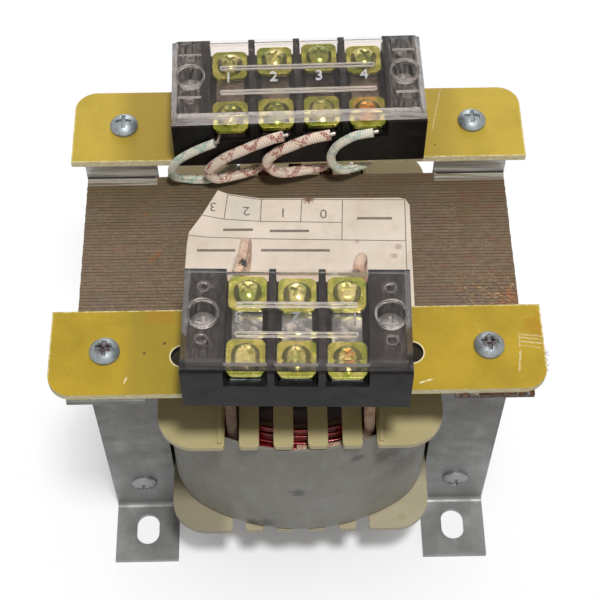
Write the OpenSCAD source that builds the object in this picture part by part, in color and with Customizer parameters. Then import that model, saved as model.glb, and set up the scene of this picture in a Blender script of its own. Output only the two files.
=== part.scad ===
// Open-frame control transformer. A laminated core stands on four bent brackets, a wound bobbin passes
// through its windows, and two insulating boards above it carry barrier terminal blocks.
// Millimetres. X to the right, Y to the rear, Z up. Origin on the floor under the middle of the core.

/* [Core] */
// Width of the middle leg of an E sheet; the other legs, the yokes and the windows are half as wide
tongue_w = 38; // [30:1:46]
// Depth of the stack of sheets
stack_d = 50; // [36:1:70]
// Number of packs of sheets, laid with the E turned up and down in turn
pack_count = 25; // [9:2:41]
// Gap left at the butt joint between an E and an I sheet
joint_gap = 0.1; // [0.05:0.05:0.3]
// Clamp hole in the corners of the sheets
core_hole_d = 4.8; // [4.5:0.1:6.5]

/* [Bobbin] */
// Wall of the tube around the middle leg
bobbin_wall = 1.4; // [1:0.1:2.5]
// Thickness of the two flanges
flange_t = 1.8; // [1.2:0.1:3]
// How far the flanges stand out beyond the stack
flange_reach = 23.2; // [18:0.2:30]
// Radius of the rounded corner lobes
lobe_r = 10; // [4:0.5:14]
// Number of wire slots in each end of a flange
slot_count = 5; // [4:1:6]
// Width of a wire slot
slot_w = 3.8; // [3.6:0.1:5]
// Distance between neighbouring wire slots
slot_pitch = 9; // [7:0.25:10]
// Flange left between the stack and the root of a slot
slot_root = 6; // [4:0.5:10]
// Radius of the corners at the mouths of the slots
finger_r = 1; // [0.3:0.1:1.5]
// Width of the guard ribs along the lobes
rib_w = 1.2; // [0.8:0.1:2]
// Height of the guard ribs along the lobes
rib_h = 0.9; // [0.4:0.1:2]
// Clearance between the bobbin and the sheets
bobbin_fit = 0.5; // [0.2:0.1:0.8]

/* [Coil] */
// How far the paper wrap bulges out beyond the stack
wrap_reach = 23.4; // [20:0.2:30]
// Radius of the coil's shoulders, in plan
coil_side_r = 18; // [10:0.5:19]
// Room between the side of the wrap and the outer leg
wrap_room = 1.2; // [0.6:0.1:3]
// Thickness of the paper wrap
wrap_t = 0.8; // [0.4:0.1:1.5]
// How far the wrap stops short of each flange
wrap_short = 0.8; // [0.4:0.1:3]
// Thickness of the outer winding
outer_coil_t = 6; // [4:0.5:7]
// How far the outer winding stops short of the upper flange
coil_short = 6; // [5:0.5:9]
// Layers in the outer winding
coil_layers = 6; // [3:1:8]
// Thickness of the insulation between the windings
insulation_t = 0.7; // [0.4:0.1:1.2]
// Gap between one layer of the coil and the next, and between the coil and the flanges
layer_gap = 0.1; // [0.05:0.05:0.3]

/* [Brackets] */
// Thickness of the bracket sheet
sheet_t = 1.5; // [1:0.1:2.5]
// Inside radius of the bends
bend_r = 1.5; // [0.5:0.25:3]
// How far a bracket is wider than the leg that it clamps, on each side
bracket_over = 0.2; // [0:0.1:0.25]
// Height of the core above the floor
core_lift = 8; // [4:0.5:20]
// Height of the upper flanges above the core
flange_rise = 7; // [6:0.5:14]
// Length of a foot, from the face of the core
foot_len = 20.6; // [18:0.2:30]
// Width of the slot in a foot
foot_slot_w = 7; // [4.5:0.5:9]
// Length of the slot in a foot
foot_slot_len = 10; // [8:0.5:12]
// Middle of the slot, from the face of the core
foot_slot_y = 10.3; // [9:0.1:14]
// Gap between a bracket and the core
seat_gap = 0.05; // [0.02:0.01:0.2]

/* [Fasteners] */
// Diameter of the clamp bolts and of the screws
bolt_d = 4; // [3:0.5:5]
// Diameter of the heads on the brackets and boards
head_d = 7.6; // [6:0.2:9]
// Height of those heads
head_h = 2.7; // [2:0.1:3.5]
// Width of a nut across its flats
nut_w = 7; // [5.5:0.5:8]
// Height of a nut
nut_h = 3.2; // [2.4:0.1:4]
// Clearance all round a screw in its hole
hole_room = 0.3; // [0.15:0.05:0.6]
// Gap under a head, a nut or a seated plate
face_gap = 0.03; // [0.02:0.01:0.1]

/* [Boards] */
// How far a board's ends stand out past the sides of the core
board_over = 4.25; // [2:0.25:10]
// Depth of a board
board_d = 24; // [20:0.5:30]
// Thickness of a board
board_t = 2; // [1.5:0.1:3]
// Radius of a board's outer corners
board_r = 6; // [1:0.5:10]
// How far a board's inner edge lies over the core
board_lap = 1.4; // [0:0.1:4]
// How far a bracket's upper flange shows past the board's outer edge
flange_peek = 0.6; // [0.1:0.1:2]
// Diameter of the spare holes in the front board
spare_hole_d = 5.8; // [4:0.2:6.4]
// Sideways play of the front board as fitted
front_shift = -0.7; // [-1:0.1:1]
// Sideways play of the rear board as fitted
rear_shift = 0.8; // [-1:0.1:1]

/* [Terminal blocks] */
// Poles of the front block
front_poles = 3; // [2:1:4]
// Poles of the rear block
rear_poles = 4; // [4:1:5]
// Turn of the front block on its board, in degrees
front_turn = -1.5; // [-2:0.5:2]
// Turn of the rear block on its board, in degrees
rear_turn = 1; // [-2:0.5:2]
// Distance between neighbouring poles
pole_pitch = 12; // [11:0.25:13]
// Length of the solid end of a block, up to the first pole's cell
block_end = 9.3; // [8.8:0.1:12]
// Depth of a block, front to rear
block_d = 29.2; // [28:0.2:34]
// Height of a block's base, up to the strips
base_h = 10; // [8:0.5:14]
// Height of a block under its cover
block_h = 17.5; // [16.5:0.5:24]
// Thickness of the barriers between the poles
barrier_t = 1.7; // [1:0.1:2]
// Distance of a row of screws from the block's front or rear face
row_inset = 5.45; // [5.3:0.05:6]
// How far a block's middle lies outward of its board's middle
block_out = 1.4; // [0:0.1:2]
// Fixing screw's place, from the block's end
fix_inset = 5; // [4.8:0.1:5.2]
// Height of the seat for a fixing screw, above the board
fix_seat = 13; // [6:0.5:13.5]
// Thickness of a cover
cover_t = 1.5; // [1:0.1:2.5]
// How far a cover's rim lies inside the block's front and rear faces
cover_inset = 0.6; // [0.1:0.1:1]
// Height of a cover, from its rim to its top face
lip_h = 2.9; // [2.5:0.1:4]
// Thickness of a cover's skirt at the rim
lip_t = 1.6; // [1.2:0.1:1.8]
// How far a cover's skirt slopes in, from the rim to the top face
cover_draft = 1.6; // [0:0.1:1.8]
// Height of the raised rings and ribs on a cover
relief_h = 0.5; // [0.2:0.1:1]
// Outer radius of a cover's large rings
ring_r = 4; // [3.4:0.1:4.4]
// Width of those rings
ring_w = 0.6; // [0.4:0.1:1]
// Distance of a cover's double ribs from its middle line
rib_y = 4.1; // [3:0.1:5]
// How far both double ribs lie in front of that line
rib_off = 1.8; // [0:0.1:2.5]
// Distance between the two ribs of a pair
rib_pair = 1; // [0.8:0.1:1.5]
// Thickness of one of those ribs
rib_t = 0.4; // [0.3:0.1:0.6]
// Distance of a cover's pegs from its middle line
peg_y = 7.2; // [6.4:0.1:9]
// Diameter of a cover's pegs
peg_d = 2.4; // [1.5:0.1:2.6]
// Length of a cover's pegs
peg_len = 4; // [2:0.5:6]
// Clearance round the pegs, inside the skirt and over the highest screw head
cover_room = 0.15; // [0.1:0.05:0.3]

/* [Terminals] */
// Width of a plated strip
strip_w = 7.4; // [6:0.2:7.6]
// Thickness of a plated strip
strip_t = 1; // [0.6:0.1:1.5]
// How far a strip stops short of the front and rear of its block
strip_inset = 1.25; // [0.5:0.05:2]
// Side of a square clamp plate
clamp_w = 9.4; // [9:0.1:9.8]
// Radius of a clamp plate's corners
clamp_r = 1.8; // [0.5:0.1:2.4]
// Thickness of a clamp plate
clamp_t = 1.2; // [0.8:0.1:1.4]
// Depth of a clamp plate's turned-down edges
clamp_edge = 0.7; // [0.3:0.1:0.8]
// Diameter of a terminal screw's head
screw_head_d = 6.8; // [6:0.2:7.4]
// Height of a terminal screw's head
screw_head_h = 2.1; // [1.6:0.1:2.2]
// Length of a terminal screw under its head
screw_len = 7.6; // [6:0.2:8]

/* [Leads and label] */
// Diameter of a woven sleeve
sleeve_d = 2.8; // [2.4:0.1:3.2]
// Diameter of the thinner sleeves on the outer rear leads
thin_sleeve_d = 2.3; // [1.8:0.1:2.6]
// Diameter of a bare wire
wire_d = 1; // [0.6:0.1:1.2]
// Width of the paper label
label_w = 60.4; // [40:0.2:66]
// Depth of the paper label
label_d = 37; // [30:0.5:38]
// Thickness of the paper label
label_t = 0.2; // [0.1:0.05:0.4]
// Width torn off the label's rear left corner
tear_w = 8.4; // [0:0.2:14]
// Depth torn off the label's rear left corner
tear_d = 24; // [0:0.5:28]

/* [Hidden] */
$fn = 48;

// Core sheet: three legs, two windows, one yoke on the E and one on the I
leg_w = tongue_w / 2;
core_w = 3 * tongue_w;
core_h = 2.5 * tongue_w;
window_h = 1.5 * tongue_w;
core_z = core_lift;
core_top = core_z + core_h;
face_y = stack_d / 2;
pack_t = stack_d / pack_count;
hole_x = (core_w - leg_w) / 2;
hole_z = [core_z + leg_w / 2, core_top - leg_w / 2];

// Bobbin, inside the windows
bobbin_w = 2 * (tongue_w - bobbin_fit);
bobbin_z = core_z + leg_w + bobbin_fit;
bobbin_h = window_h - 2 * bobbin_fit;
tube_x = tongue_w / 2 + bobbin_fit + bobbin_wall;
tube_y = face_y + bobbin_fit + bobbin_wall;
rib_x = (slot_count - 1) / 2 * slot_pitch + slot_w / 2 + rib_w;

// Coil in plan: straight flanks, round shoulders and a shallow bow in front and behind
wrap_x = tongue_w - wrap_room;
shoulder_x = wrap_x - coil_side_r;
bow_r = (shoulder_x * shoulder_x + wrap_reach * wrap_reach - coil_side_r * coil_side_r)
    / (2 * (wrap_reach - coil_side_r));
bow_y = face_y + wrap_reach - bow_r;
coil_z = bobbin_z + flange_t + layer_gap;
coil_h = bobbin_h - 2 * flange_t - 2 * layer_gap;
outer_in = wrap_t + layer_gap;
insulation_in = outer_in + outer_coil_t + layer_gap;
inner_in = insulation_in + insulation_t + layer_gap;

// Brackets and boards
bracket_w = leg_w + 2 * bracket_over;
web_y = face_y + seat_gap;
deck_z = core_top + flange_rise;
board_z = deck_z + face_gap;
board_top = board_z + board_t;
board_w = core_w + 2 * board_over;
board_mid = face_y - board_lap + board_d / 2;
top_len = board_d - board_lap + flange_peek - seat_gap;

// Terminal blocks, each about its own middle and standing on its board
block_y = board_mid + block_out;
block_z = board_top + face_gap;
strip_top = base_h + face_gap + strip_t;
row_gap = block_d - 2 * row_inset;
cover_d = block_d - 2 * cover_inset;
strip_len = block_d - 2 * strip_inset;
skirt_in = lip_t + cover_room;
inner_d = cover_d - 2 * skirt_in;
cover_top = block_h + face_gap + cover_t;
shoulder_z = cover_top - lip_h - cover_room;
// Room for a terminal screw to be backed out, up to the cover
open_room = block_h - strip_top - clamp_t - screw_head_h - 2 * face_gap - cover_room;
// How far each clamp plate is lifted off its strip, front row then rear row; a plate on a wire lies at
// least as high as the wire
function loose(share) = share * open_room;
function on_wire(share) = wire_d + share * (open_room - wire_d);
front_lift = [[loose(0.67), loose(0.47), loose(0.33), loose(0.4)],
    [on_wire(0.05), loose(0.1), on_wire(0), on_wire(0)]];
rear_lift = [[on_wire(0.06), on_wire(0.42), on_wire(0.63), on_wire(0.22), loose(0.3)],
    [loose(0.05), loose(0.5), loose(0.8), loose(0.36), loose(0.3)]];
// Side of the screw on which each wire lies on the rear block
rear_side = [-1, 1, 1, 1];
wire_x = bolt_d / 2 + wire_d;

// Leads: each rises from the coil through a slot, passes over the core and stands in front of its block
coil_top = coil_z + coil_h - coil_short + layer_gap;
flange_top = bobbin_z + bobbin_h;
lead_y = block_y - block_d / 2 - sleeve_d / 2;
// Distance of the wrap's outer face from the middle of the core
function bow_at(x) = bow_y + sqrt(bow_r * bow_r - x * x);
// Middle of the outer winding in front of or behind the core
function coil_mid(x) = bow_at(x) - outer_in - outer_coil_t / 2;
function rise(x) = [[x, coil_mid(x), coil_top],
    [x, coil_mid(x) - 0.15 * sleeve_d, flange_top + 1.25 * sleeve_d],
    [x, face_y + 3 * sleeve_d, core_top - 1.6 * sleeve_d]];
// Points of a lead are given in pole pitches from the pole, in sleeve diameters from a face and as shares
// of a height: first over the core and under the board, then before the block and up to its strips
function over_core(x, p) =
    [for (q = p) [x + pole_pitch * q[0], face_y + sleeve_d * q[1], core_top + flange_rise * q[2]]];
function by_block(x, p) =
    [for (q = p) [x + pole_pitch * q[0], lead_y + sleeve_d * q[1], block_z + strip_top * q[2]]];
function forward(p) = [for (q = p) [q[0], -q[1], q[2]]];
function rear_x(i) = rear_shift + pole_x(rear_poles, i);
function front_x(i) = front_shift + pole_x(front_poles, i);

rear_route_1 = concat(rise(slot_x(0)),
    over_core(rear_x(0), [[-0.02, 0.86, 0.27], [-0.2, -0.21, 0.29], [-0.48, -0.75, 0.26],
        [-0.82, -0.82, 0.23], [-1.12, -0.75, 0.29], [-1.28, -1.11, 0.57]]),
    by_block(rear_x(0), [[-1.33, 0.04, -0.2], [-1.32, -0.07, 0.04], [-1.18, -0.14, 0.35],
        [-0.92, -0.18, 0.62], [-0.61, -0.18, 0.85], [-0.34, -0.14, 1]]));
rear_route_2 = concat(rise(slot_x(1)),
    over_core(rear_x(1), [[-0.32, 0.93, 0.33], [-0.57, -0.21, 0.46], [-0.9, -0.86, 0.54],
        [-1.2, -1.21, 0.56], [-1.38, -1.5, 0.69]]),
    by_block(rear_x(1), [[-1.5, -0.21, -0.17], [-1.47, -0.21, 0.05], [-1.27, -0.21, 0.31],
        [-1.03, -0.21, 0.52], [-0.57, -0.18, 0.84], [-0.12, -0.14, 1.11], [0.16, -0.14, 1.23]]));
rear_route_3 = concat(rise(slot_x(slot_count - 2)),
    over_core(rear_x(2), [[0.18, 1.07, 0.31], [0.05, 0.21, 0.47], [-0.24, -0.46, 0.63],
        [-0.53, -0.89, 0.73], [-0.82, -1.25, 0.83]]),
    by_block(rear_x(2), [[-1.03, -0.11, -0.12], [-1.18, -0.14, 0.11], [-1.18, -0.14, 0.35],
        [-0.96, -0.14, 0.65], [-0.7, -0.11, 0.82], [-0.26, -0.07, 1.08], [0.18, -0.04, 1.22]]));
rear_route_4 = concat(rise(slot_x(slot_count - 1)),
    over_core(rear_x(3), [[0.07, 1.07, 0.31], [0.05, 0.36, 0.47], [-0.14, -0.29, 0.66],
        [-0.37, -0.82, 0.77], [-0.55, -1.21, 0.94]]),
    by_block(rear_x(3), [[-0.73, 0.04, 0.05], [-0.79, 0.04, 0.34], [-0.74, 0.04, 0.58],
        [-0.61, 0.07, 0.83], [-0.28, 0.07, 1.12], [0.12, 0.07, 1.25]]));
front_route_l = forward(concat(rise(slot_x(0)),
    over_core(front_x(0), [[-0.28, 0.36, 0.4], [-0.19, -2.14, 0.46], [-0.11, -4.82, 0.57]]),
    by_block(front_x(0), [[-0.06, -5.07, -0.19], [-0.04, -5.46, 0.2], [-0.04, -4.57, 0.61],
        [-0.07, -2.86, 0.89], [-0.12, -1.07, 1.06], [-0.19, 0.07, 1.08]])));
last_slot = slot_x(slot_count - 1);
bend_x = last_slot - 0.27 * slot_pitch;
front_route_r = forward(concat(
    [for (s = [2.11, 1.45, 0.78]) let (x = last_slot - s * slot_pitch)
        [x, bow_at(x) - outer_in - sleeve_d / 2, coil_top + sleeve_d / 2]],
    [[bend_x, coil_mid(bend_x) + 0.38 * sleeve_d, coil_top + 0.6 * sleeve_d]],
    [for (q = rise(last_slot)) [q[0], q[1], max(q[2], coil_top + 1.3 * sleeve_d)]],
    over_core(front_x(front_poles - 1), [[0.48, 0.36, 0.4], [0.46, -1.79, 0.46]]),
    by_block(front_x(front_poles - 1), [[0.43, -2.43, -0.38], [0.42, -3, -0.08],
        [0.41, -3.21, 0.31], [0.38, -2.5, 0.68], [0.32, -1.29, 0.96], [0.27, 0.07, 1.08]])));

// Placing helpers

// Both sides, left then right
module both_x(x) {
    for (s = [-1, 1])
        translate([s * x, 0, 0])
            children();
}

// On the front board, facing forward
module at_front_block() {
    translate([front_shift, -block_y, block_z])
        rotate([0, 0, front_turn])
            children();
}

// On the rear board
module at_rear_block() {
    translate([rear_shift, block_y, block_z])
        rotate([0, 0, rear_turn])
            children();
}

// Plan with four round corners
module round_plan(w, d, r) {
    square([w - 2 * r, d], center = true);
    square([w, d - 2 * r], center = true);
    for (x = [-1, 1], y = [-1, 1])
        translate([x * (w / 2 - r), y * (d / 2 - r)])
            circle(r);
}

// Tube swept along a route

function unit(v) = v / norm(v);
function heading(p, i) = unit(p[min(i + 1, len(p) - 1)] - p[max(i - 1, 0)]);
function across(p, i) = i == 0
    ? unit(cross(heading(p, 0), [1, 0, 0]))
    : let (s = across(p, i - 1), t = heading(p, i)) unit(s - (s * t) * t);
function ring(p, i, r, n) = let (s = across(p, i), u = cross(heading(p, i), s))
    [for (k = [0:n - 1]) p[i] + r * (cos(360 * k / n) * s + sin(360 * k / n) * u)];

module swept(p, d, n = 8) {
    last = len(p) - 1;
    points = [for (i = [0:last]) each ring(p, i, d / 2, n)];
    sides = [for (i = [0:last - 1], k = [0:n - 1]) let (a = i * n + k, b = i * n + (k + 1) % n)
        each [[a, a + n, b], [b, a + n, b + n]]];
    ends = [[for (k = [0:n - 1]) k], [for (k = [n - 1:-1:0]) last * n + k]];
    polyhedron(points, concat(sides, ends), convexity = 6);
}

// Fasteners

// Domed head with a cross recess, standing on z = 0
module pan_head(d, h) {
    rim = 0.3 * h;
    dome = (d * d / 4 + (h - rim) * (h - rim)) / (2 * (h - rim));
    difference() {
        intersection() {
            cylinder(d = d, h = h);
            translate([0, 0, h - dome])
                sphere(dome, $fn = 96);
        }
        for (a = [0, 90])
            rotate([0, 0, a])
                translate([-0.28 * d, -0.07 * d, 0.55 * h])
                    cube([0.56 * d, 0.14 * d, h]);
    }
}

// Hexagon nut standing on z = 0
module nut(hole) {
    difference() {
        cylinder(d = nut_w / cos(30), h = nut_h, $fn = 6);
        translate([0, 0, -1])
            cylinder(d = hole, h = nut_h + 2);
    }
}

// Screw with its head on z = 0 and its shank below
module screw(d, len, w, h) {
    pan_head(w, h);
    translate([0, 0, -len])
        cylinder(d = d, h = len + 0.1 * h);
}

// Core

// Yoke of one pack, on top or at the bottom
module yoke(top, gap) {
    translate([-core_w / 2, 0, top ? core_top - leg_w + gap : core_z - gap])
        cube([core_w, pack_t, leg_w]);
}

module core_holes() {
    for (x = [-1, 1], z = hole_z)
        translate([x * hole_x, 0, z])
            rotate([90, 0, 0])
                cylinder(d = core_hole_d, h = stack_d + 2, center = true);
}

module core_e_sheets() {
    color([0.42, 0.37, 0.31])
        difference() {
            union() {
                for (i = [0:pack_count - 1])
                    translate([0, -face_y + i * pack_t, 0])
                        yoke(i % 2 == 1, 0);
                for (x = [-core_w / 2, -tongue_w / 2, core_w / 2 - leg_w])
                    translate([x, -face_y, core_z + leg_w])
                        cube([x == -tongue_w / 2 ? tongue_w : leg_w, stack_d, window_h]);
            }
            core_holes();
        }
}

module core_i_sheets() {
    color([0.46, 0.41, 0.35])
        difference() {
            for (i = [0:pack_count - 1])
                translate([0, -face_y + i * pack_t, 0])
                    yoke(i % 2 == 0, joint_gap);
            core_holes();
        }
}

// Bobbin and coil

function slot_x(i) = (i - (slot_count - 1) / 2) * slot_pitch;

// Row of wire slots across the front of a flange
module wire_slots() {
    for (i = [0:slot_count - 1])
        translate([slot_x(i) - slot_w / 2, -face_y - flange_reach - 1])
            square([slot_w, flange_reach - slot_root + 1]);
}

// Waste at a square corner whose sides run towards +x and +y, leaving it round
module corner_waste(r) {
    difference() {
        translate([-0.1, -0.1])
            square(r + 0.1);
        translate([r, r])
            circle(r);
    }
}

// Waste at both corners of every slot's mouth
module slot_mouths() {
    for (i = [0:slot_count - 1], s = [-1, 1])
        translate([slot_x(i) + s * slot_w / 2, -face_y - flange_reach])
            mirror([s < 0 ? 1 : 0, 0])
                corner_waste(finger_r);
}

module flange_plan() {
    difference() {
        round_plan(bobbin_w, 2 * (face_y + flange_reach), lobe_r);
        for (m = [0, 1])
            mirror([0, m]) {
                wire_slots();
                slot_mouths();
            }
    }
}

// Flange lying on z = 0 with guard ribs on its outer face, beyond the stack
module bobbin_flange() {
    linear_extrude(flange_t)
        flange_plan();
    rib_len = flange_reach - slot_root - finger_r;
    rib_rise = flange_t / 2 + rib_h;
    for (x = [-1, 1], y = [-1, 1])
        translate([x * rib_x, y * (face_y + slot_root + rib_len / 2), flange_t / 2 + rib_rise / 2])
            cube([rib_w, rib_len, rib_rise], center = true);
}

module coil_bobbin() {
    color([0.82, 0.78, 0.64])
        difference() {
            union() {
                translate([0, 0, bobbin_z + bobbin_h - flange_t])
                    bobbin_flange();
                translate([0, 0, bobbin_z + flange_t])
                    mirror([0, 0, 1])
                        bobbin_flange();
                translate([-tube_x, -tube_y, bobbin_z])
                    cube([2 * tube_x, 2 * tube_y, bobbin_h]);
            }
            translate([-tube_x + bobbin_wall, -tube_y + bobbin_wall, bobbin_z - rib_h - 1])
                cube([2 * (tube_x - bobbin_wall), 2 * (tube_y - bobbin_wall), bobbin_h + 2 * rib_h + 2]);
        }
}

// Outline of the coil in plan, drawn in from the outside of the wrap
module coil_plan(in) {
    side_r = coil_side_r - in;
    reach = norm([shoulder_x, face_y - bow_y]);
    meet_x = shoulder_x + side_r * shoulder_x / reach;
    square([2 * (wrap_x - in), 2 * face_y], center = true);
    for (y = [-1, 1]) {
        for (x = [-1, 1])
            translate([x * shoulder_x, y * face_y])
                circle(side_r);
        intersection() {
            translate([0, y * bow_y])
                circle(bow_r - in, $fn = 96);
            translate([-meet_x, y > 0 ? 0 : -2 * bow_r])
                square([2 * meet_x, 2 * bow_r]);
        }
    }
}

// One closed layer of the coil
module coil_layer(in, t, z, h) {
    translate([0, 0, z])
        linear_extrude(h)
            difference() {
                coil_plan(in);
                coil_plan(in + t);
            }
}

module inner_winding() {
    color([0.55, 0.16, 0.12])
        translate([0, 0, coil_z])
            linear_extrude(coil_h)
                difference() {
                    coil_plan(inner_in);
                    square([2 * (tube_x + layer_gap), 2 * (tube_y + layer_gap)], center = true);
                }
}

module layer_insulation() {
    color([0.80, 0.70, 0.45])
        coil_layer(insulation_in, insulation_t, coil_z, coil_h);
}

// Layers of wire, whose ends stand a little higher and lower in turn
module outer_winding() {
    layer_t = outer_coil_t / coil_layers;
    color([0.62, 0.09, 0.10])
        for (i = [0:coil_layers - 1])
            coil_layer(outer_in + i * layer_t, layer_t, coil_z + (i % 2) * layer_t / 3,
                coil_h - coil_short - (i % 2) * layer_t * 2 / 3);
}

module outer_wrap() {
    color([0.42, 0.42, 0.38])
        coil_layer(0, wrap_t, coil_z + wrap_short, coil_h - 2 * wrap_short);
}

// Brackets

// Quarter bend with its inside corner at the origin
module bend_plan() {
    intersection() {
        translate([bend_r, bend_r])
            difference() {
                circle(bend_r + sheet_t);
                circle(bend_r);
            }
        translate([-sheet_t, -sheet_t])
            square(bend_r + sheet_t);
    }
}

// Section of a bracket: foot, web and upper flange, from the face of the core outward
module bracket_section() {
    bend = bend_r + sheet_t;
    translate([0, bend])
        square([sheet_t, deck_z - 2 * bend]);
    translate([bend, 0])
        square([foot_len - bend, sheet_t]);
    translate([bend, deck_z - sheet_t])
        square([top_len - bend, sheet_t]);
    translate([sheet_t, sheet_t])
        bend_plan();
    translate([sheet_t, deck_z - sheet_t])
        mirror([0, 1])
            bend_plan();
}

// Bracket in front of the left leg, with its board screw moved sideways by the board's play
module bracket(play) {
    slot_run = foot_slot_len - foot_slot_w;
    color([0.62, 0.63, 0.64])
        translate([-hole_x, 0, 0])
            difference() {
                translate([bracket_w / 2, -web_y, 0])
                    rotate([90, 0, -90])
                        linear_extrude(bracket_w)
                            bracket_section();
                for (z = hole_z)
                    translate([0, -web_y + 1, z])
                        rotate([90, 0, 0])
                            cylinder(d = bolt_d + 2 * hole_room, h = sheet_t + 2);
                translate([play, -board_mid, deck_z - sheet_t - 1])
                    cylinder(d = bolt_d + 2 * hole_room, h = sheet_t + 2);
                translate([0, -face_y - foot_slot_y, -1])
                    linear_extrude(sheet_t + 2) {
                        square([foot_slot_w, slot_run], center = true);
                        for (s = [-1, 1])
                            translate([0, s * slot_run / 2])
                                circle(d = foot_slot_w);
                    }
            }
}

module front_left_bracket() {
    bracket(front_shift);
}

module front_right_bracket() {
    mirror([1, 0, 0])
        bracket(-front_shift);
}

module rear_left_bracket() {
    mirror([0, 1, 0])
        bracket(rear_shift);
}

module rear_right_bracket() {
    rotate([0, 0, 180])
        bracket(-rear_shift);
}

// Clamp bolts run through both brackets and the corners of the core
module clamp_bolts() {
    seat = web_y + sheet_t + face_gap;
    color([0.66, 0.66, 0.64])
        for (x = [-1, 1], z = hole_z)
            translate([x * hole_x, -seat, z])
                rotate([90, 0, 0])
                    screw(bolt_d, 2 * seat + nut_h + 1.5, head_d, head_h);
}

module clamp_nuts() {
    color([0.60, 0.60, 0.58])
        for (x = [-1, 1], z = hole_z)
            translate([x * hole_x, web_y + sheet_t + face_gap, z])
                rotate([-90, 0, 0])
                    nut(bolt_d + 2 * face_gap);
}

// Boards

// Plan of the rear board about its own middle, with round outer corners
module board_plan() {
    difference() {
        square([board_w, board_d], center = true);
        for (x = [-1, 1])
            translate([x * (board_w / 2 - board_r), board_d / 2 - board_r])
                difference() {
                    translate([x > 0 ? 0 : -board_r - 1, 0])
                        square(board_r + 1);
                    circle(board_r);
                }
    }
}

// Places of a block's two fixing screws, from its middle
function fix_x(poles) = poles * pole_pitch / 2 + block_end - fix_inset;

module rear_board() {
    color([0.78, 0.66, 0.22])
        difference() {
            translate([rear_shift, board_mid, board_z])
                linear_extrude(board_t)
                    board_plan();
            translate([rear_shift, board_mid, board_z - 1])
                both_x(hole_x)
                    cylinder(d = bolt_d + 2 * hole_room, h = board_t + 2);
            at_rear_block()
                both_x(fix_x(rear_poles))
                    translate([0, 0, -board_t - 1])
                        cylinder(d = bolt_d + 2 * hole_room, h = board_t + 2);
        }
}

module front_board() {
    color([0.78, 0.66, 0.22])
        difference() {
            translate([front_shift, -board_mid, board_z])
                rotate([0, 0, 180])
                    linear_extrude(board_t)
                        board_plan();
            translate([front_shift, -board_mid, board_z - 1])
                both_x(hole_x)
                    cylinder(d = bolt_d + 2 * hole_room, h = board_t + 2);
            translate([front_shift, -block_y, board_z - 1])
                both_x(fix_x(front_poles + 1))
                    cylinder(d = spare_hole_d, h = board_t + 2);
            at_front_block()
                both_x(fix_x(front_poles))
                    translate([0, 0, -board_t - 1])
                        cylinder(d = bolt_d + 2 * hole_room, h = board_t + 2);
        }
}

module at_board_screws(z) {
    for (end = [[front_shift, -1], [rear_shift, 1]])
        translate([end[0], end[1] * board_mid, z])
            both_x(hole_x)
                children();
}

module board_screws() {
    color([0.70, 0.70, 0.68])
        at_board_screws(board_top + face_gap)
            screw(bolt_d, board_t + sheet_t + nut_h + 1, head_d, head_h);
}

module board_nuts() {
    color([0.60, 0.60, 0.58])
        at_board_screws(deck_z - sheet_t - nut_h - face_gap)
            nut(bolt_d + 2 * face_gap);
}

// Terminal blocks

function block_len(poles) = poles * pole_pitch + 2 * block_end;
function pole_x(poles, i) = (i - (poles - 1) / 2) * pole_pitch;

// Wall of a block: full depth below the cover's rim, narrower inside its skirt
module block_wall(w) {
    translate([-w / 2, -block_d / 2, 0])
        cube([w, block_d, shoulder_z]);
    translate([-w / 2, -inner_d / 2, 0])
        cube([w, inner_d, block_h]);
}

// Solid end of a block towards +x, with its outer side at x = 0
module block_end_wall(w) {
    translate([-w, -block_d / 2, 0])
        cube([w, block_d, shoulder_z]);
    translate([-w, -inner_d / 2, 0])
        cube([w - skirt_in, inner_d, block_h]);
}

module at_terminals(poles) {
    for (i = [0:poles - 1], row = [0, 1])
        translate([pole_x(poles, i), (row - 0.5) * row_gap, 0])
            children();
}

module at_pegs(poles) {
    for (y = [-1, 1])
        translate([0, y * peg_y, 0])
            both_x(fix_x(poles))
                children();
}

module block_body(poles) {
    length = block_len(poles);
    end_w = block_end + barrier_t / 2;
    difference() {
        union() {
            translate([-length / 2, -block_d / 2, 0])
                cube([length, block_d, base_h]);
            for (m = [0, 1])
                mirror([m, 0, 0])
                    translate([length / 2, 0, 0])
                        block_end_wall(end_w);
            for (i = [1:poles - 1])
                translate([pole_x(poles, i) - pole_pitch / 2, 0, 0])
                    block_wall(barrier_t);
        }
        at_terminals(poles)
            translate([0, 0, strip_top - screw_len - 0.5])
                cylinder(d = bolt_d + 2 * hole_room, h = screw_len);
        both_x(fix_x(poles)) {
            translate([0, 0, -1])
                cylinder(d = bolt_d + 2 * hole_room, h = block_h);
            translate([0, 0, fix_seat])
                cylinder(d = screw_head_d + 2 * hole_room, h = block_h);
        }
        at_pegs(poles)
            translate([0, 0, block_h - peg_len - cover_room])
                cylinder(d = peg_d + 2 * cover_room, h = peg_len + 1);
    }
}

// Side of a cover: a rim w long that slopes in on both sides
module skirt_plan(w) {
    polygon([[-w / 2, 0], [w / 2, 0], [w / 2 - cover_draft, lip_h], [-w / 2 + cover_draft, lip_h]]);
}

// Shallow clear tray, upside down
module cover_tray(length) {
    difference() {
        intersection() {
            rotate([90, 0, 0])
                linear_extrude(cover_d, center = true)
                    skirt_plan(length);
            rotate([90, 0, 90])
                linear_extrude(length, center = true)
                    skirt_plan(cover_d);
        }
        translate([-length / 2 + lip_t, -cover_d / 2 + lip_t, -1])
            cube([length - 2 * lip_t, cover_d - 2 * lip_t, lip_h - cover_t + 1]);
    }
}

// Outline of a long loop with round ends
module loop_plan(w, d) {
    square([w - d, d], center = true);
    both_x((w - d) / 2)
        circle(d = d);
}

// Relief on a cover's top face, rooted in the plate
module raised() {
    translate([0, 0, cover_top - cover_t / 2])
        linear_extrude(relief_h + cover_t / 2)
            children();
}

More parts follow.
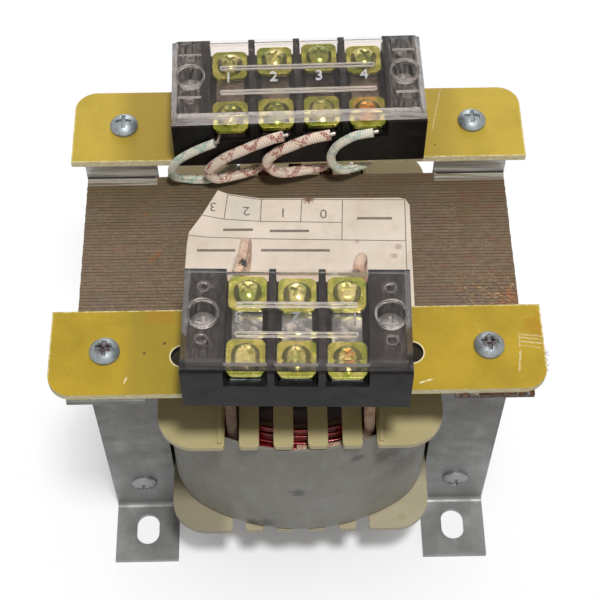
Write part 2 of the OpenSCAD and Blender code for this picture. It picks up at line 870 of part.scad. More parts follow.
// Clear cover with a large ring over each fixing screw and a long loop along each row
module block_cover(poles, small_rings) {
    rib_len = (poles - 1) * pole_pitch + ring_r + 1;
    translate([0, 0, cover_top - lip_h])
        cover_tray(block_len(poles));
    raised() {
        both_x(fix_x(poles))
            difference() {
                circle(ring_r);
                circle(ring_r - ring_w);
            }
        for (y = [-rib_y, rib_y])
            translate([0, y - rib_off])
                difference() {
                    loop_plan(rib_len, rib_pair + rib_t);
                    loop_plan(rib_len - 2 * rib_t, rib_pair - rib_t);
                }
        at_pegs(poles)
            if (small_rings)
                difference() {
                    circle(d = peg_d + 2 * rib_t);
                    circle(d = peg_d);
                }
            else
                square([2.5 * peg_d, rib_t], center = true);
    }
    at_pegs(poles)
        translate([0, 0, cover_top - cover_t - peg_len])
            cylinder(d = peg_d, h = peg_len + cover_t / 2);
}

module block_strips(poles) {
    color([0.75, 0.75, 0.72])
        difference() {
            for (i = [0:poles - 1])
                translate([pole_x(poles, i) - strip_w / 2, -strip_len / 2, base_h + face_gap])
                    cube([strip_w, strip_len, strip_t]);
            at_terminals(poles)
                cylinder(d = bolt_d + 2 * face_gap, h = block_h);
        }
}

// Square clamp plate with round corners, whose sides are turned down past the strip
module clamp_plate() {
    edge_t = (clamp_w - strip_w) / 2 - 0.2;
    edge_len = clamp_w - 2 * clamp_r;
    difference() {
        union() {
            linear_extrude(clamp_t)
                round_plan(clamp_w, clamp_w, clamp_r);
            for (x = [-clamp_w / 2, clamp_w / 2 - edge_t])
                translate([x, -edge_len / 2, -clamp_edge])
                    cube([edge_t, edge_len, clamp_edge + 0.1]);
        }
        translate([0, 0, -1])
            cylinder(d = bolt_d + 2 * hole_room, h = clamp_t + 2);
    }
}

module block_clamps(poles, lift) {
    color([0.72, 0.70, 0.33])
        for (i = [0:poles - 1], row = [0, 1])
            translate([pole_x(poles, i), (row - 0.5) * row_gap, strip_top + face_gap + lift[row][i]])
                clamp_plate();
}

module block_screws(poles, lift) {
    color([0.74, 0.72, 0.45])
        for (i = [0:poles - 1], row = [0, 1])
            translate([pole_x(poles, i), (row - 0.5) * row_gap,
                strip_top + clamp_t + 2 * face_gap + lift[row][i]])
                rotate([0, 0, 25 * i + 40 * row])
                    screw(bolt_d, screw_len, screw_head_d, screw_head_h);
}

module block_fixings(poles) {
    color([0.66, 0.66, 0.64])
        both_x(fix_x(poles))
            translate([0, 0, fix_seat + face_gap])
                screw(bolt_d, fix_seat + board_t + nut_h + 1, screw_head_d, screw_head_h);
}

module block_nuts(poles) {
    color([0.60, 0.60, 0.58])
        both_x(fix_x(poles))
            translate([0, 0, -board_t - nut_h - 2 * face_gap])
                nut(bolt_d + 2 * face_gap);
}

module front_block_body() {
    color([0.16, 0.15, 0.16])
        at_front_block()
            block_body(front_poles);
}

module front_block_cover() {
    color([0.80, 0.78, 0.82, 0.4])
        at_front_block()
            block_cover(front_poles, true);
}

module front_block_strips() {
    at_front_block()
        block_strips(front_poles);
}

module front_block_clamps() {
    at_front_block()
        block_clamps(front_poles, front_lift);
}

module front_block_screws() {
    at_front_block()
        block_screws(front_poles, front_lift);
}

module front_block_fixings() {
    at_front_block()
        block_fixings(front_poles);
}

module front_block_nuts() {
    at_front_block()
        block_nuts(front_poles);
}

module rear_block_body() {
    color([0.11, 0.10, 0.10])
        at_rear_block()
            block_body(rear_poles);
}

module rear_block_cover() {
    color([0.80, 0.78, 0.82, 0.4])
        at_rear_block()
            block_cover(rear_poles, false);
}

module rear_block_strips() {
    at_rear_block()
        block_strips(rear_poles);
}

module rear_block_clamps() {
    at_rear_block()
        block_clamps(rear_poles, rear_lift);
}

module rear_block_screws() {
    at_rear_block()
        block_screws(rear_poles, rear_lift);
}

module rear_block_fixings() {
    at_rear_block()
        block_fixings(rear_poles);
}

module rear_block_nuts() {
    at_rear_block()
        block_nuts(rear_poles);
}

// Leads

module sleeve(route, d = sleeve_d) {
    color([0.86, 0.82, 0.76])
        swept(route, d);
}

module rear_lead_1() {
    sleeve(rear_route_1, thin_sleeve_d);
}

module rear_lead_2() {
    sleeve(rear_route_2);
}

module rear_lead_3() {
    sleeve(rear_route_3);
}

module rear_lead_4() {
    sleeve(rear_route_4, thin_sleeve_d);
}

module front_lead_left() {
    sleeve(front_route_l);
}

module front_lead_right() {
    sleeve(front_route_r);
}

// Bare wire from the end of a sleeve to beside the screw, under the clamp plate
function turned(a, p) = [[cos(a), -sin(a)], [sin(a), cos(a)]] * p;
module bare_wire(route, terminal, along) {
    end = route[len(route) - 1];
    way = unit(end - route[len(route) - 2]);
    rest = terminal + [0, 0, strip_top + face_gap / 2 + wire_d / 2];
    swept([end + face_gap * way, end + wire_d * way, rest - along * (clamp_w / 2),
        rest + along * (clamp_w / 4)], wire_d);
}

module rear_wires() {
    routes = [rear_route_1, rear_route_2, rear_route_3, rear_route_4];
    color([0.75, 0.45, 0.30])
        for (i = [0:3]) {
            at = turned(rear_turn, [pole_x(rear_poles, i) + rear_side[i] * wire_x, -row_gap / 2]);
            bare_wire(routes[i], [rear_shift + at[0], block_y + at[1], block_z],
                [-sin(rear_turn), cos(rear_turn), 0]);
        }
}

module front_wires() {
    routes = [front_route_l, front_route_r];
    color([0.75, 0.45, 0.30])
        for (i = [0, 1]) {
            x = pole_x(front_poles, i * (front_poles - 1)) + (2 * i - 1) * wire_x;
            at = turned(front_turn, [x, row_gap / 2]);
            bare_wire(routes[i], [front_shift + at[0], at[1] - block_y, block_z],
                [sin(front_turn), -cos(front_turn), 0]);
        }
}

// Label glued to the top of the core, with one corner torn away
module paper_label() {
    x = label_w / 2;
    y = label_d / 2;
    color([0.90, 0.86, 0.80])
        translate([0.4, -1.5, core_top + joint_gap + face_gap])
            linear_extrude(label_t)
                polygon([[-x, -y], [x - 0.6, -y], [x, y - 3], [x - 1, y - 1], [x - 2.5, y - 0.5],
                    [-x + 2.4 * tear_w, y], [-x + 1.3 * tear_w, y + 1.8], [-x + tear_w, y + 3],
                    [-x + 0.5 * tear_w, y - 0.22 * tear_d], [-x + 0.1 * tear_w, y - 0.45 * tear_d],
                    [-x + 0.05 * tear_w, y - 0.6 * tear_d], [-x, y - tear_d]]);
}

core_e_sheets();
core_i_sheets();
coil_bobbin();
inner_winding();
layer_insulation();
outer_winding();
outer_wrap();
front_left_bracket();
front_right_bracket();
rear_left_bracket();
rear_right_bracket();
clamp_bolts();
clamp_nuts();
front_board();
rear_board();
board_screws();
board_nuts();
front_block_body();
front_block_cover();
front_block_strips();
front_block_clamps();
front_block_screws();
front_block_fixings();
front_block_nuts();
rear_block_body();
rear_block_cover();
rear_block_strips();
rear_block_clamps();
rear_block_screws();
rear_block_fixings();
rear_block_nuts();
rear_lead_1();
rear_lead_2();
rear_lead_3();
rear_lead_4();
rear_wires();
front_lead_left();
front_lead_right();
front_wires();
paper_label();
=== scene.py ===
"""Looks of an open-frame control transformer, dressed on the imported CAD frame.

Lengths here are millimetres in the frame's own axes, and mm() turns them into Blender's metres.
A mark is a place, a radius, how ragged its rim is and the grain of that rim; the last two may be left out.
A ground is a box on the part, given by its lowest and highest corner.
"""

import math
import random

import bpy
from mathutils import Matrix, Vector


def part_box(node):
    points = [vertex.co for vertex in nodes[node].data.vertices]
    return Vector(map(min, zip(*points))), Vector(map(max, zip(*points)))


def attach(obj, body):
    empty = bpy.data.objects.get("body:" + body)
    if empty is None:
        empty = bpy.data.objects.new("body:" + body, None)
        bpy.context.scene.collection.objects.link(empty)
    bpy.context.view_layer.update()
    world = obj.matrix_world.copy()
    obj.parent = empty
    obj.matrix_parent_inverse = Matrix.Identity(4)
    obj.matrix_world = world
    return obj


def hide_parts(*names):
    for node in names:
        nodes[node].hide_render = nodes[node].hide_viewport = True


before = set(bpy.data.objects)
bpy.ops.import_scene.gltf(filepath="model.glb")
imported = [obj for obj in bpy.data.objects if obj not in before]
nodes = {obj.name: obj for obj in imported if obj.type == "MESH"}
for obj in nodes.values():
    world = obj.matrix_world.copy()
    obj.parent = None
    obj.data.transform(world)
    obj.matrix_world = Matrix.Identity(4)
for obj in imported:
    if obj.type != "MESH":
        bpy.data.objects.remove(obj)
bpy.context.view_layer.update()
scene = bpy.context.scene
rng = random.Random(7)

METRE = 1000

# Camera: place, direction in degrees, focal length and range, for a square picture
EYE = (-2.7, -214.1, 419.4)
YAW = 0.89
PITCH = -57.89
ROLL = -0.19
SENSOR = 36.0
LENS = 86.22
CLIP_NEAR = 10
CLIP_FAR = 20000

# Light: place, aim, width and watts of each lamp; strength of the world on the part and where it is seen
LAMPS = {
    "key": ((120, -330, 1250), (0, 0, 60), 160, 10.8),
    "back": ((0, 800, 380), (0, 0, 80), 500, 3.0),
}
WORLD_ON_PART = 0.3
WORLD_SEEN = 1.0

# Floor: half its width, its drop below the feet, and how far out its glow, a painted light, turns it white,
# in two steps
FLOOR_HALF = 1500
FLOOR_DROP = 0.1
SHADOW_FADE = (36, 92)
FAR_FADE = (200, 800)

# Heights of the faces that carry marks
CORE_Z = 103
LABEL_Z = 103.2
BOARD_Z = 112

# Core: half the stack, pitch of the sheets, gap between them and its spread, width of an outer leg, joint
# of E and I sheets, gap below the label, inset of the plain body, and how uneven the edges are
STACK_HALF = 25
SHEET_PITCH = 1.0
SHEET_GAP = 0.11
GAP_SPREAD = (0.7, 1.3)
LEG = 19.0
JOINT = 0.12
LABEL_GAP = 0.03
BODY_INSET = 0.3
UNEVEN_SIDE = 0.12
UNEVEN_FOOT = 0.08
UNEVEN_TOP = 0.04

# Wear and painted light of the core: olive to the rear, red to the right, rust, a corner with wear and
# painted glints, flakes, and a painted reflection band in streaks and painted shadow lines along the rear
# brackets
OLIVE_Y = (8, 24)
RED_X = (20, 45)
CORE_RUST = ((56, -17.5, CORE_Z), 5.5, 0.8)
WEAR_AND_GLINT_CORNER = ((42, -24, 90), (60, -9, 116))
FLAKED_LINE = ((-39, -2.9, CORE_Z), (-36.6, -0.2, CORE_Z), 1.3)
FLAKED_SPOT = ((-40.4, 12.3, CORE_Z), 1.0)
REFLECTION_BANDS = [((-57.5, 22.3, 102), (-38, 25.5, 104)), ((38, 22.3, 102), (57.5, 25.5, 104))]
GAP_SHADOWS = [((-57, 24.7, 102), (-38.5, 25.3, 104)), ((38.5, 24.7, 102), (57, 25.3, 104))]

# Brackets: painted shade high on the webs and painted light low on them, a painted highlight band on the
# rear webs, and rust on the front right one
WEB_SHADE_Z = (38, 62)
WEB_LIGHT_Z = (38, 16)
REAR_WEB_HIGHLIGHT = ((-70, 24, 103.6), (70, 26, 112))
BRACKET_RUST = ((38, -50, 106.5), (58, -46, 111))

# Coil: radius of its shoulders, wrap with the gap below it, wire of the outer winding, how its turns lie
# and waver, and how high each layer stands, from the outside in
SHOULDER_R = 18.0
WRAP_T = 0.9
TURN_D = 1.0
TURN_SIDES = 8
TURN_FILL = 0.96
TURN_ROWS = 3
TURN_PITCH = 0.95
TURN_LIFT = 0.05
TURN_PLAY = 0.08
TURN_WOBBLE = 0.12
TURN_WAVES = 5
TURN_RISES = (0, 0, 0, 1.3, 3.0, 4.6)

# Steps of a turn along its bow, shoulder and side, and the least distance between its points
BOW_STEPS = 14
SHOULDER_STEPS = 12
SIDE_STEPS = 6
LEAST_STEP = 0.3

# Marks on the wrap: soot, smears, brown stains and a faint one
WRAP_SOOT = [((-1, -48, 55), 3.0, 1.0, 1.0), ((-8.3, -48.4, 40.6), 0.9, 0.4, 0.5)]
WRAP_SMEARS = [((-10, -48.4, 33), 3.2), ((-14, -47, 31.5), 2.6), ((15, -46, 72), 2.5)]
WRAP_BROWN = [((24.6, -44, 67), 5.5, 1.1, 1.4), ((27, -42, 73), 3.5, 1.1, 1.0)]
WRAP_FAINT = ((29.5, -41.3, 55), 7.5, 1.1, 1.6)

# Bobbin: painted warm bounce light toward the rear, yellower above, varnish behind, and painted shade on the
# left of the lower flange
REAR_BOUNCE_Y = (20, 30)
YELLOW_Z = (60, 75)
BOBBIN_VARNISH = ((-50, 25, 60), (50, 37, 90))
BOBBIN_LEFT_SHADE = ((-44, -54, 20), (-22, -20, 36))

# Sleeved leads: diameters, braid and yarn, a burnt mark with painted shade below, and the points their
# middles pass
SLEEVE_D = 2.8
THIN_SLEEVE_D = 2.3
THIN_LEADS = ("rear_lead_1", "rear_lead_4")
SLEEVE_STEP = 0.4
SLEEVE_SIDES = 32
BRAID_ROWS = 8
BRAID_PITCH = 1.3
BRAID_RELIEF = 0.05
YARN_PITCH = 7.5
BURN = ((-13.6, -18.2, 124.7), 1.7, 0.5)
SLEEVE_SHADE_Z = (103, 88)
LEADS = {
    "rear_lead_1": [
        (-18, 41.4, 75.7), (-18, 41, 87), (-18, 33.4, 98.5), (-17.4, 27.4, 104.9), (-19.6, 24.4, 105),
        (-23, 22.9, 104.8), (-27, 22.7, 104.6), (-30.6, 22.9, 105), (-32.6, 21.9, 107), (-33.2, 21.1, 109.9),
        (-33, 20.8, 112.5), (-31.4, 20.6, 115.9), (-28.2, 20.5, 118.9), (-24.5, 20.5, 121.4),
        (-21.3, 20.6, 123.1)],
    "rear_lead_2": [
        (-9, 43.7, 75.7), (-9, 43.3, 87), (-9, 33.4, 98.5), (-9, 27.6, 105.3), (-12, 24.4, 106.2),
        (-16, 22.6, 106.8), (-19.6, 21.6, 106.9), (-21.8, 20.8, 107.8), (-23.2, 20.4, 110.2),
        (-22.8, 20.4, 112.6), (-20.4, 20.4, 115.5), (-17.6, 20.4, 117.8), (-12, 20.5, 121.3),
        (-6.6, 20.6, 124.3), (-3.3, 20.6, 125.6)],
    "rear_lead_3": [
        (9, 43.7, 75.7), (9, 43.3, 87), (9, 33.4, 98.5), (9, 28, 105.2), (7.4, 25.6, 106.3),
        (3.9, 23.7, 107.4), (0.4, 22.5, 108.1), (-3, 21.5, 108.8), (-5.6, 20.7, 110.7), (-7.4, 20.6, 113.3),
        (-7.4, 20.6, 115.9), (-4.7, 20.6, 119.2), (-1.6, 20.7, 121.1), (3.7, 20.8, 124), (9, 20.9, 125.5)],
    "rear_lead_4": [
        (18, 41.4, 75.7), (18, 41, 87), (18, 33.4, 98.5), (19.6, 28, 105.2), (19.4, 26, 106.3),
        (17.1, 24.2, 107.6), (14.4, 22.7, 108.4), (12.2, 21.6, 109.6), (10, 21.1, 112.6), (9.3, 21.1, 115.8),
        (9.9, 21.1, 118.5), (11.5, 21.2, 121.2), (15.4, 21.2, 124.4), (20.2, 21.2, 125.8)],
    "front_lead_left": [
        (-18, -41.4, 75.7), (-18, -41, 87), (-18, -33.4, 98.5), (-16.1, -26, 105.8), (-15, -19, 106.2),
        (-14, -11.5, 107), (-13.4, -6.8, 110), (-13.2, -5.7, 114.3), (-13.2, -8.2, 118.8),
        (-13.5, -13, 121.9), (-14.1, -18, 123.8), (-15, -21.2, 124)],
    "front_lead_right": [
        (-1, -46.1, 77.1), (5, -45.9, 77.1), (11, -45, 77.1), (15.6, -43.2, 77.4), (18, -41.4, 79.3),
        (18, -41, 87), (18, -33.4, 98.5), (17.1, -26, 105.8), (16.8, -20, 106.2), (16.5, -14.2, 107.9),
        (16.3, -12.6, 111.2), (16.2, -12, 115.5), (15.9, -14, 119.6), (15.1, -17.4, 122.6),
        (14.5, -21.2, 124)],
}

# Label: ruled lines, bars in place of words, a digit in each cell, their sizes, and stains
RULES = [
    [(-18.6, 18.4), (-10.2, 16.7), (29.4, 15.8)],
    [(-26, 11.9), (-19.6, 10.3), (-9.8, 9.4), (12.2, 8.6)],
    [(-29, 5.2), (-24.1, 4.5), (-9.9, 3.7), (28.8, 2.3)],
    [(-18.7, 18.4), (-19.6, 10.3)],
    [(-9.5, 16.6), (-9.8, 9.4)],
    [(1.5, 16.4), (1, 9)],
    [(12.5, 16.2), (11.9, 3.1)],
    [(29.4, 15.8), (28.2, -19)],
]
WORD_BARS = [
    [(16.2, 9.9), (25.6, 9.7)],
    [(-19.8, 6.8), (-11.8, 6.7)],
    [(-7.3, 6.2), (3.2, 6)],
    [(-26.7, 0.3), (-16.5, 0.1)],
    [(-9.7, 0), (8.6, -0.4)],
]
LABEL_DIGITS = {"3": (-22.6, 14.4), "2": (-13.6, 12.8), "1": (-3.7, 12.1), "0": (7.2, 11.5)}
LABEL_DIGIT_H = 2.9
LABEL_TURN = 178
RULE_W = 0.24
BAR_W = 0.8
INK_T = 0.02
LABEL_BLUE = ((-14.5, 13.5, LABEL_Z), 6, 0.7)
LABEL_RUST = ((3.3, 16.6, LABEL_Z), 1.9, 0.9, 0.9)
LABEL_SPOTS = [
    ((15.9, 2.4, LABEL_Z), 0.9, 0.9, 0.4),
    ((26.8, 0.4, LABEL_Z), 1.3, 0.9, 0.4),
    ((25.6, -2.4, LABEL_Z), 1.2, 0.9, 0.4),
]

# Covers: raised digits, places of the first and the last, their turn, where the ends begin, how hatched
# these are and how rubbed the skirt is; then heights, and where the rear wall and the front skirt begin
COVERS = {
    "rear_block_cover": {
        "digits": "1234", "first": (-17.4, 35.9), "last": (18.2, 36.5), "turn": 0,
        "ends": 25.0, "hatched": 0.1, "rubbed": 0.5},
    "front_block_cover": {
        "digits": "321", "first": (-14.5, -37.9), "last": (12.9, -38.9), "turn": 178.5,
        "ends": 19.5, "hatched": 0.045, "rubbed": 0.06},
}
COVER_DIGIT_H = 3.2
DIGIT_RELIEF = 0.4
RELIEF = 0.5
SKIRT_H = 2.9
REAR_WALL = (4, 2)
FRONT_SKIRT_Y = (-46, -48)

# Terminals: rounding of the clamp plates, and a warm stain among the plates and the screws of each block
CLAMP_EDGE = 0.35
CLAMP_STEPS = 3
SHARP_ANGLE = 40
WELD_GAP = 0.002
WARM_STAINS = {
    "rear_block_clamps": ((18.8, 29.5, 126), 4.8, 0.4),
    "rear_block_screws": ((18.8, 27, 128), 3.8, 0.4),
    "front_block_clamps": ((11.3, -46, 126), 2.4, 0.4),
    "front_block_screws": ((11.3, -46, 128), 2.2, 0.4),
}

# Boards: half their length, how far each lies to the side, edge toward the core, change from the front
# one's look to the rear one's, and spare holes
BOARD_HALF = 61.25
FRONT_SHIFT = -0.7
REAR_SHIFT = 0.8
BOARD_EDGE = 23.6
MIDDLE_Y = (-1, 1)
SPARE_HOLES = [(-29, -37), (27.6, -37)]
SPARE_HOLE_D = 5.8

# Wear and painted shade of the boards: painted shade near the blocks, which fades to the right on the rear
# one, stains, specks, chalk, rust in the front screws, and scratches with their start, end, width and
# strength
FRONT_BLOCK_SHADE = ((-43, -51, 108), (-18, -21, 116))
REAR_BLOCK_SHADE = ((-47, 20, 106), (44, 52, 118))
REAR_SHADE_X = (-20, 20)
BOARD_STAINS = [((-34.5, -24, BOARD_Z), 5.5, 0.9, 1.8), ((60, -30, BOARD_Z), 5, 0.9)]
BOARD_SPECKS = [((-38.4, -36, BOARD_Z), 0.55, 0.3), ((-33.5, -33.3, BOARD_Z), 0.6, 0.3)]
CHALKED = ((36, -46, 111), (60, -26, 113))
SCREW_RUST = [((-48.2, -35.6, 115), 3.0, 0.5, 0.8), ((46.8, -35.6, 115), 3.0, 0.5, 0.8)]
BOARD_SCRATCHES = [
    ((29.2, -45.7), (32, -44.7), 0.45, 0.9),
    ((-43, -44.3), (-42.5, -42.8), 0.4, 0.8),
    ((54.7, -32.3), (60, -33), 0.5, 0.3),
    ((54.6, -33.2), (60, -33.9), 0.35, 0.35),
    ((54.5, -34.2), (60, -35.1), 0.4, 0.4),
    ((54.5, -35.4), (59.9, -36.4), 0.3, 0.3),
    ((54.5, -32), (54.4, -36), 0.35, 0.3),
    ((54.4, -37.2), (53.7, -42.5), 0.5, 0.4),
    ((37.3, 32.8), (40.5, 46.9), 0.3, 0.3),
    ((-28.8, -26), (-28.2, -32), 0.35, 0.3),
]

# Loose fibres at the front board's right end: their form, and the y, length and lean of each
FIBRE_D = 0.26
FIBRE_SIDES = 6
FIBRE_ROOT = 0.4
FIBRE_DEPTH = 0.6
FIBRE_BOW = 0.15
FIBRE_LIFT = 0.2
FRAY = [
    (-37.2, 1.0, 25), (-37.5, 1.3, 5), (-37.9, 1.4, -20), (-38.2, 0.9, 40), (-38.5, 1.1, 60),
    (-39.0, 0.7, 10), (-39.6, 0.8, -15), (-40.1, 1.2, 40), (-40.4, 1.4, 70), (-40.8, 1.0, -30),
    (-41.2, 1.2, 20), (-41.7, 0.9, 55), (-42.2, 0.8, -30),
]


def mm(*values):
    """Millimetres as metres: one number, or a vector of three."""
    return values[0] / METRE if len(values) == 1 else Vector(values) / METRE


def rgb(r, g, b):
    """A colour as seen on screen, 0 to 255, as linear light."""
    light = [(c / 255 / 12.92) if c <= 10 else ((c / 255 + 0.055) / 1.055) ** 2.4 for c in (r, g, b)]
    return (*light, 1.0)


# Materials


def seen_rays(tree):
    """1 for rays from the camera, a mirror or a clear piece, and 0 for others."""
    path = tree.nodes.new("ShaderNodeLightPath").outputs
    total = path["Is Camera Ray"]
    for name in ("Is Glossy Ray", "Is Transmission Ray"):
        add = tree.nodes.new("ShaderNodeMath")
        add.operation = "ADD"
        add.use_clamp = True
        tree.links.new(total, add.inputs[0])
        tree.links.new(path[name], add.inputs[1])
        total = add.outputs[0]
    return total


class Paint:
    """A node material around one Principled shader, with a short call for each kind of node used here."""

    SOCKETS = {"ior": "IOR", "specular": "Specular IOR Level", "subsurface": "Subsurface Weight",
               "transmission": "Transmission Weight", "coat": "Coat Weight", "sheen": "Sheen Weight"}

    def __init__(self, name, **sockets):
        self.material = bpy.data.materials.new(name)
        self.material.use_nodes = True
        self.tree = self.material.node_tree
        self.tree.nodes.clear()
        self.shader = self.tree.nodes.new("ShaderNodeBsdfPrincipled")
        self.output = self.tree.nodes.new("ShaderNodeOutputMaterial")
        self.tree.links.new(self.shader.outputs[0], self.output.inputs[0])
        self.where = self.node("TexCoord").outputs["Object"]
        self.colour = None
        self.set(**sockets)

    def feed(self, socket, value):
        if isinstance(value, bpy.types.NodeSocket):
            self.tree.links.new(value, socket)
        else:
            socket.default_value = value

    def node(self, kind, inputs=None, **settings):
        n = self.tree.nodes.new("ShaderNode" + kind)
        for key, value in settings.items():
            setattr(n, key, value)
        for key, value in (inputs or {}).items():
            self.feed(n.inputs[key], value)
        return n

    def set(self, **sockets):
        """Sets or links the shader's sockets; base_color is Base Color, and so on."""
        for key, value in sockets.items():
            self.feed(self.shader.inputs[self.SOCKETS.get(key, key.replace("_", " ").title())], value)

    def place(self, stretch=(1, 1, 1)):
        """Place on the part in mm, drawn out along each axis."""
        return self.node("Mapping", {"Vector": self.where, "Scale": [METRE / s for s in stretch]}).outputs[0]

    def axis(self, name):
        """One coordinate of the place on the part, in mm."""
        return self.node("SeparateXYZ", {"Vector": self.place()}).outputs[name]

    def facing(self, name):
        """One coordinate of the surface's direction."""
        return self.node("SeparateXYZ", {"Vector": self.node("NewGeometry").outputs["Normal"]}).outputs[name]

    def noise(self, size, detail=3.0, stretch=(1, 1, 1), warp=0.0):
        """Soft noise, 0 to 1, with features of about size mm."""
        return self.node("TexNoise", {"Vector": self.place(stretch), "Scale": 1 / size, "Detail": detail,
                                      "Roughness": 0.55, "Distortion": warp}).outputs["Fac"]

    def calc(self, operation, *values, clamp=False):
        n = self.node("Math", operation=operation, use_clamp=clamp)
        for socket, value in zip(n.inputs, values):
            self.feed(socket, value)
        return n.outputs[0]

    def vector(self, operation, a, b, output=0):
        """What an operation makes of two vectors."""
        return self.node("VectorMath", {0: a, 1: b}, operation=operation).outputs[output]

    def times(self, first, *others):
        """Product of several values."""
        for value in others:
            first = self.calc("MULTIPLY", first, value)
        return first

    def most(self, first, *others):
        """The highest of several values."""
        for value in others:
            first = self.calc("MAXIMUM", first, value)
        return first

    def span(self, value, low, high, to_low=0.0, to_high=1.0):
        """Eases from to_low to to_high while value goes from low to high."""
        return self.node("MapRange", {"Value": value, "From Min": low, "From Max": high, "To Min": to_low,
                                      "To Max": to_high}, interpolation_type="SMOOTHSTEP").outputs[0]

    def ramp(self, fac, *stops):
        """Colour that runs through stops of a place from 0 to 1 and a colour."""
        n = self.node("ValToRGB", {"Fac": fac})
        elements = n.color_ramp.elements
        between = [elements.new(place) for place, _ in stops[1:-1]]
        for element, (place, colour) in zip([elements[0], *between, elements[-1]], stops):
            element.position = place
            element.color = colour
        return n.outputs["Color"]

    def mix(self, fac, a, b):
        n = self.node("Mix", data_type="RGBA", blend_type="MIX")
        for index, value in ((0, fac), (6, a), (7, b)):
            self.feed(n.inputs[index], value)
        return n.outputs[2]

    def tint(self, mask, colour):
        """Lays a colour over the one so far, where the mask is 1."""
        self.colour = self.mix(mask, self.colour, colour)

    def spot(self, at, radius, ragged=0.6, grain=None):
        """Mask of a mark: 1 at its place, falling to 0 at its radius, with a ragged rim."""
        away = self.vector("DISTANCE", self.place(), at, "Value")
        uneven = self.calc("SUBTRACT", self.noise(grain or radius / 2, 4), 0.5)
        away = self.calc("ADD", away, self.times(uneven, ragged * 2 * radius))
        return self.span(away, radius, radius * 0.4)

    def scratch(self, a, b, width):
        """Mask of a fine mark between two places, a little wavy."""
        way = Vector(b) - Vector(a)
        uneven = self.node("TexNoise", {"Vector": self.place(), "Scale": 0.5, "Detail": 3.0})
        drift = self.vector("SUBTRACT", uneven.outputs["Color"], (0.5, 0.5, 0.5))
        inputs = {0: drift, 1: (0.7, 0.7, 0), 2: self.place()}
        here = self.node("VectorMath", inputs, operation="MULTIPLY_ADD").outputs[0]
        off = self.vector("SUBTRACT", here, a)
        share = self.vector("DOT_PRODUCT", off, way / way.length_squared, "Value")
        share = self.calc("ADD", share, 0.0, clamp=True)
        near = self.node("VectorMath", {0: way, "Scale": share}, operation="SCALE").outputs[0]
        return self.span(self.vector("DISTANCE", off, near, "Value"), width * 0.7, width * 0.2)

    def patch(self, ground, soft=1.0):
        """Mask of a ground, 1 inside and 0 outside, with a soft rim."""
        sides = []
        for name, low, high in zip("XYZ", *ground):
            at = self.axis(name)
            sides += [self.span(at, low - soft, low + soft), self.span(at, high + soft, high - soft)]
        return self.times(*sides)

    def bump(self, height, depth, edge=0.0):
        """Relief of depth mm from a height of 0 to 1, and edges rounded by edge mm."""
        inputs = {"Height": height, "Strength": 1.0, "Distance": mm(depth)}
        if edge:
            inputs["Normal"] = self.node("Bevel", {"Radius": mm(edge)}, samples=4).outputs[0]
        self.set(normal=self.node("Bump", inputs).outputs[0])


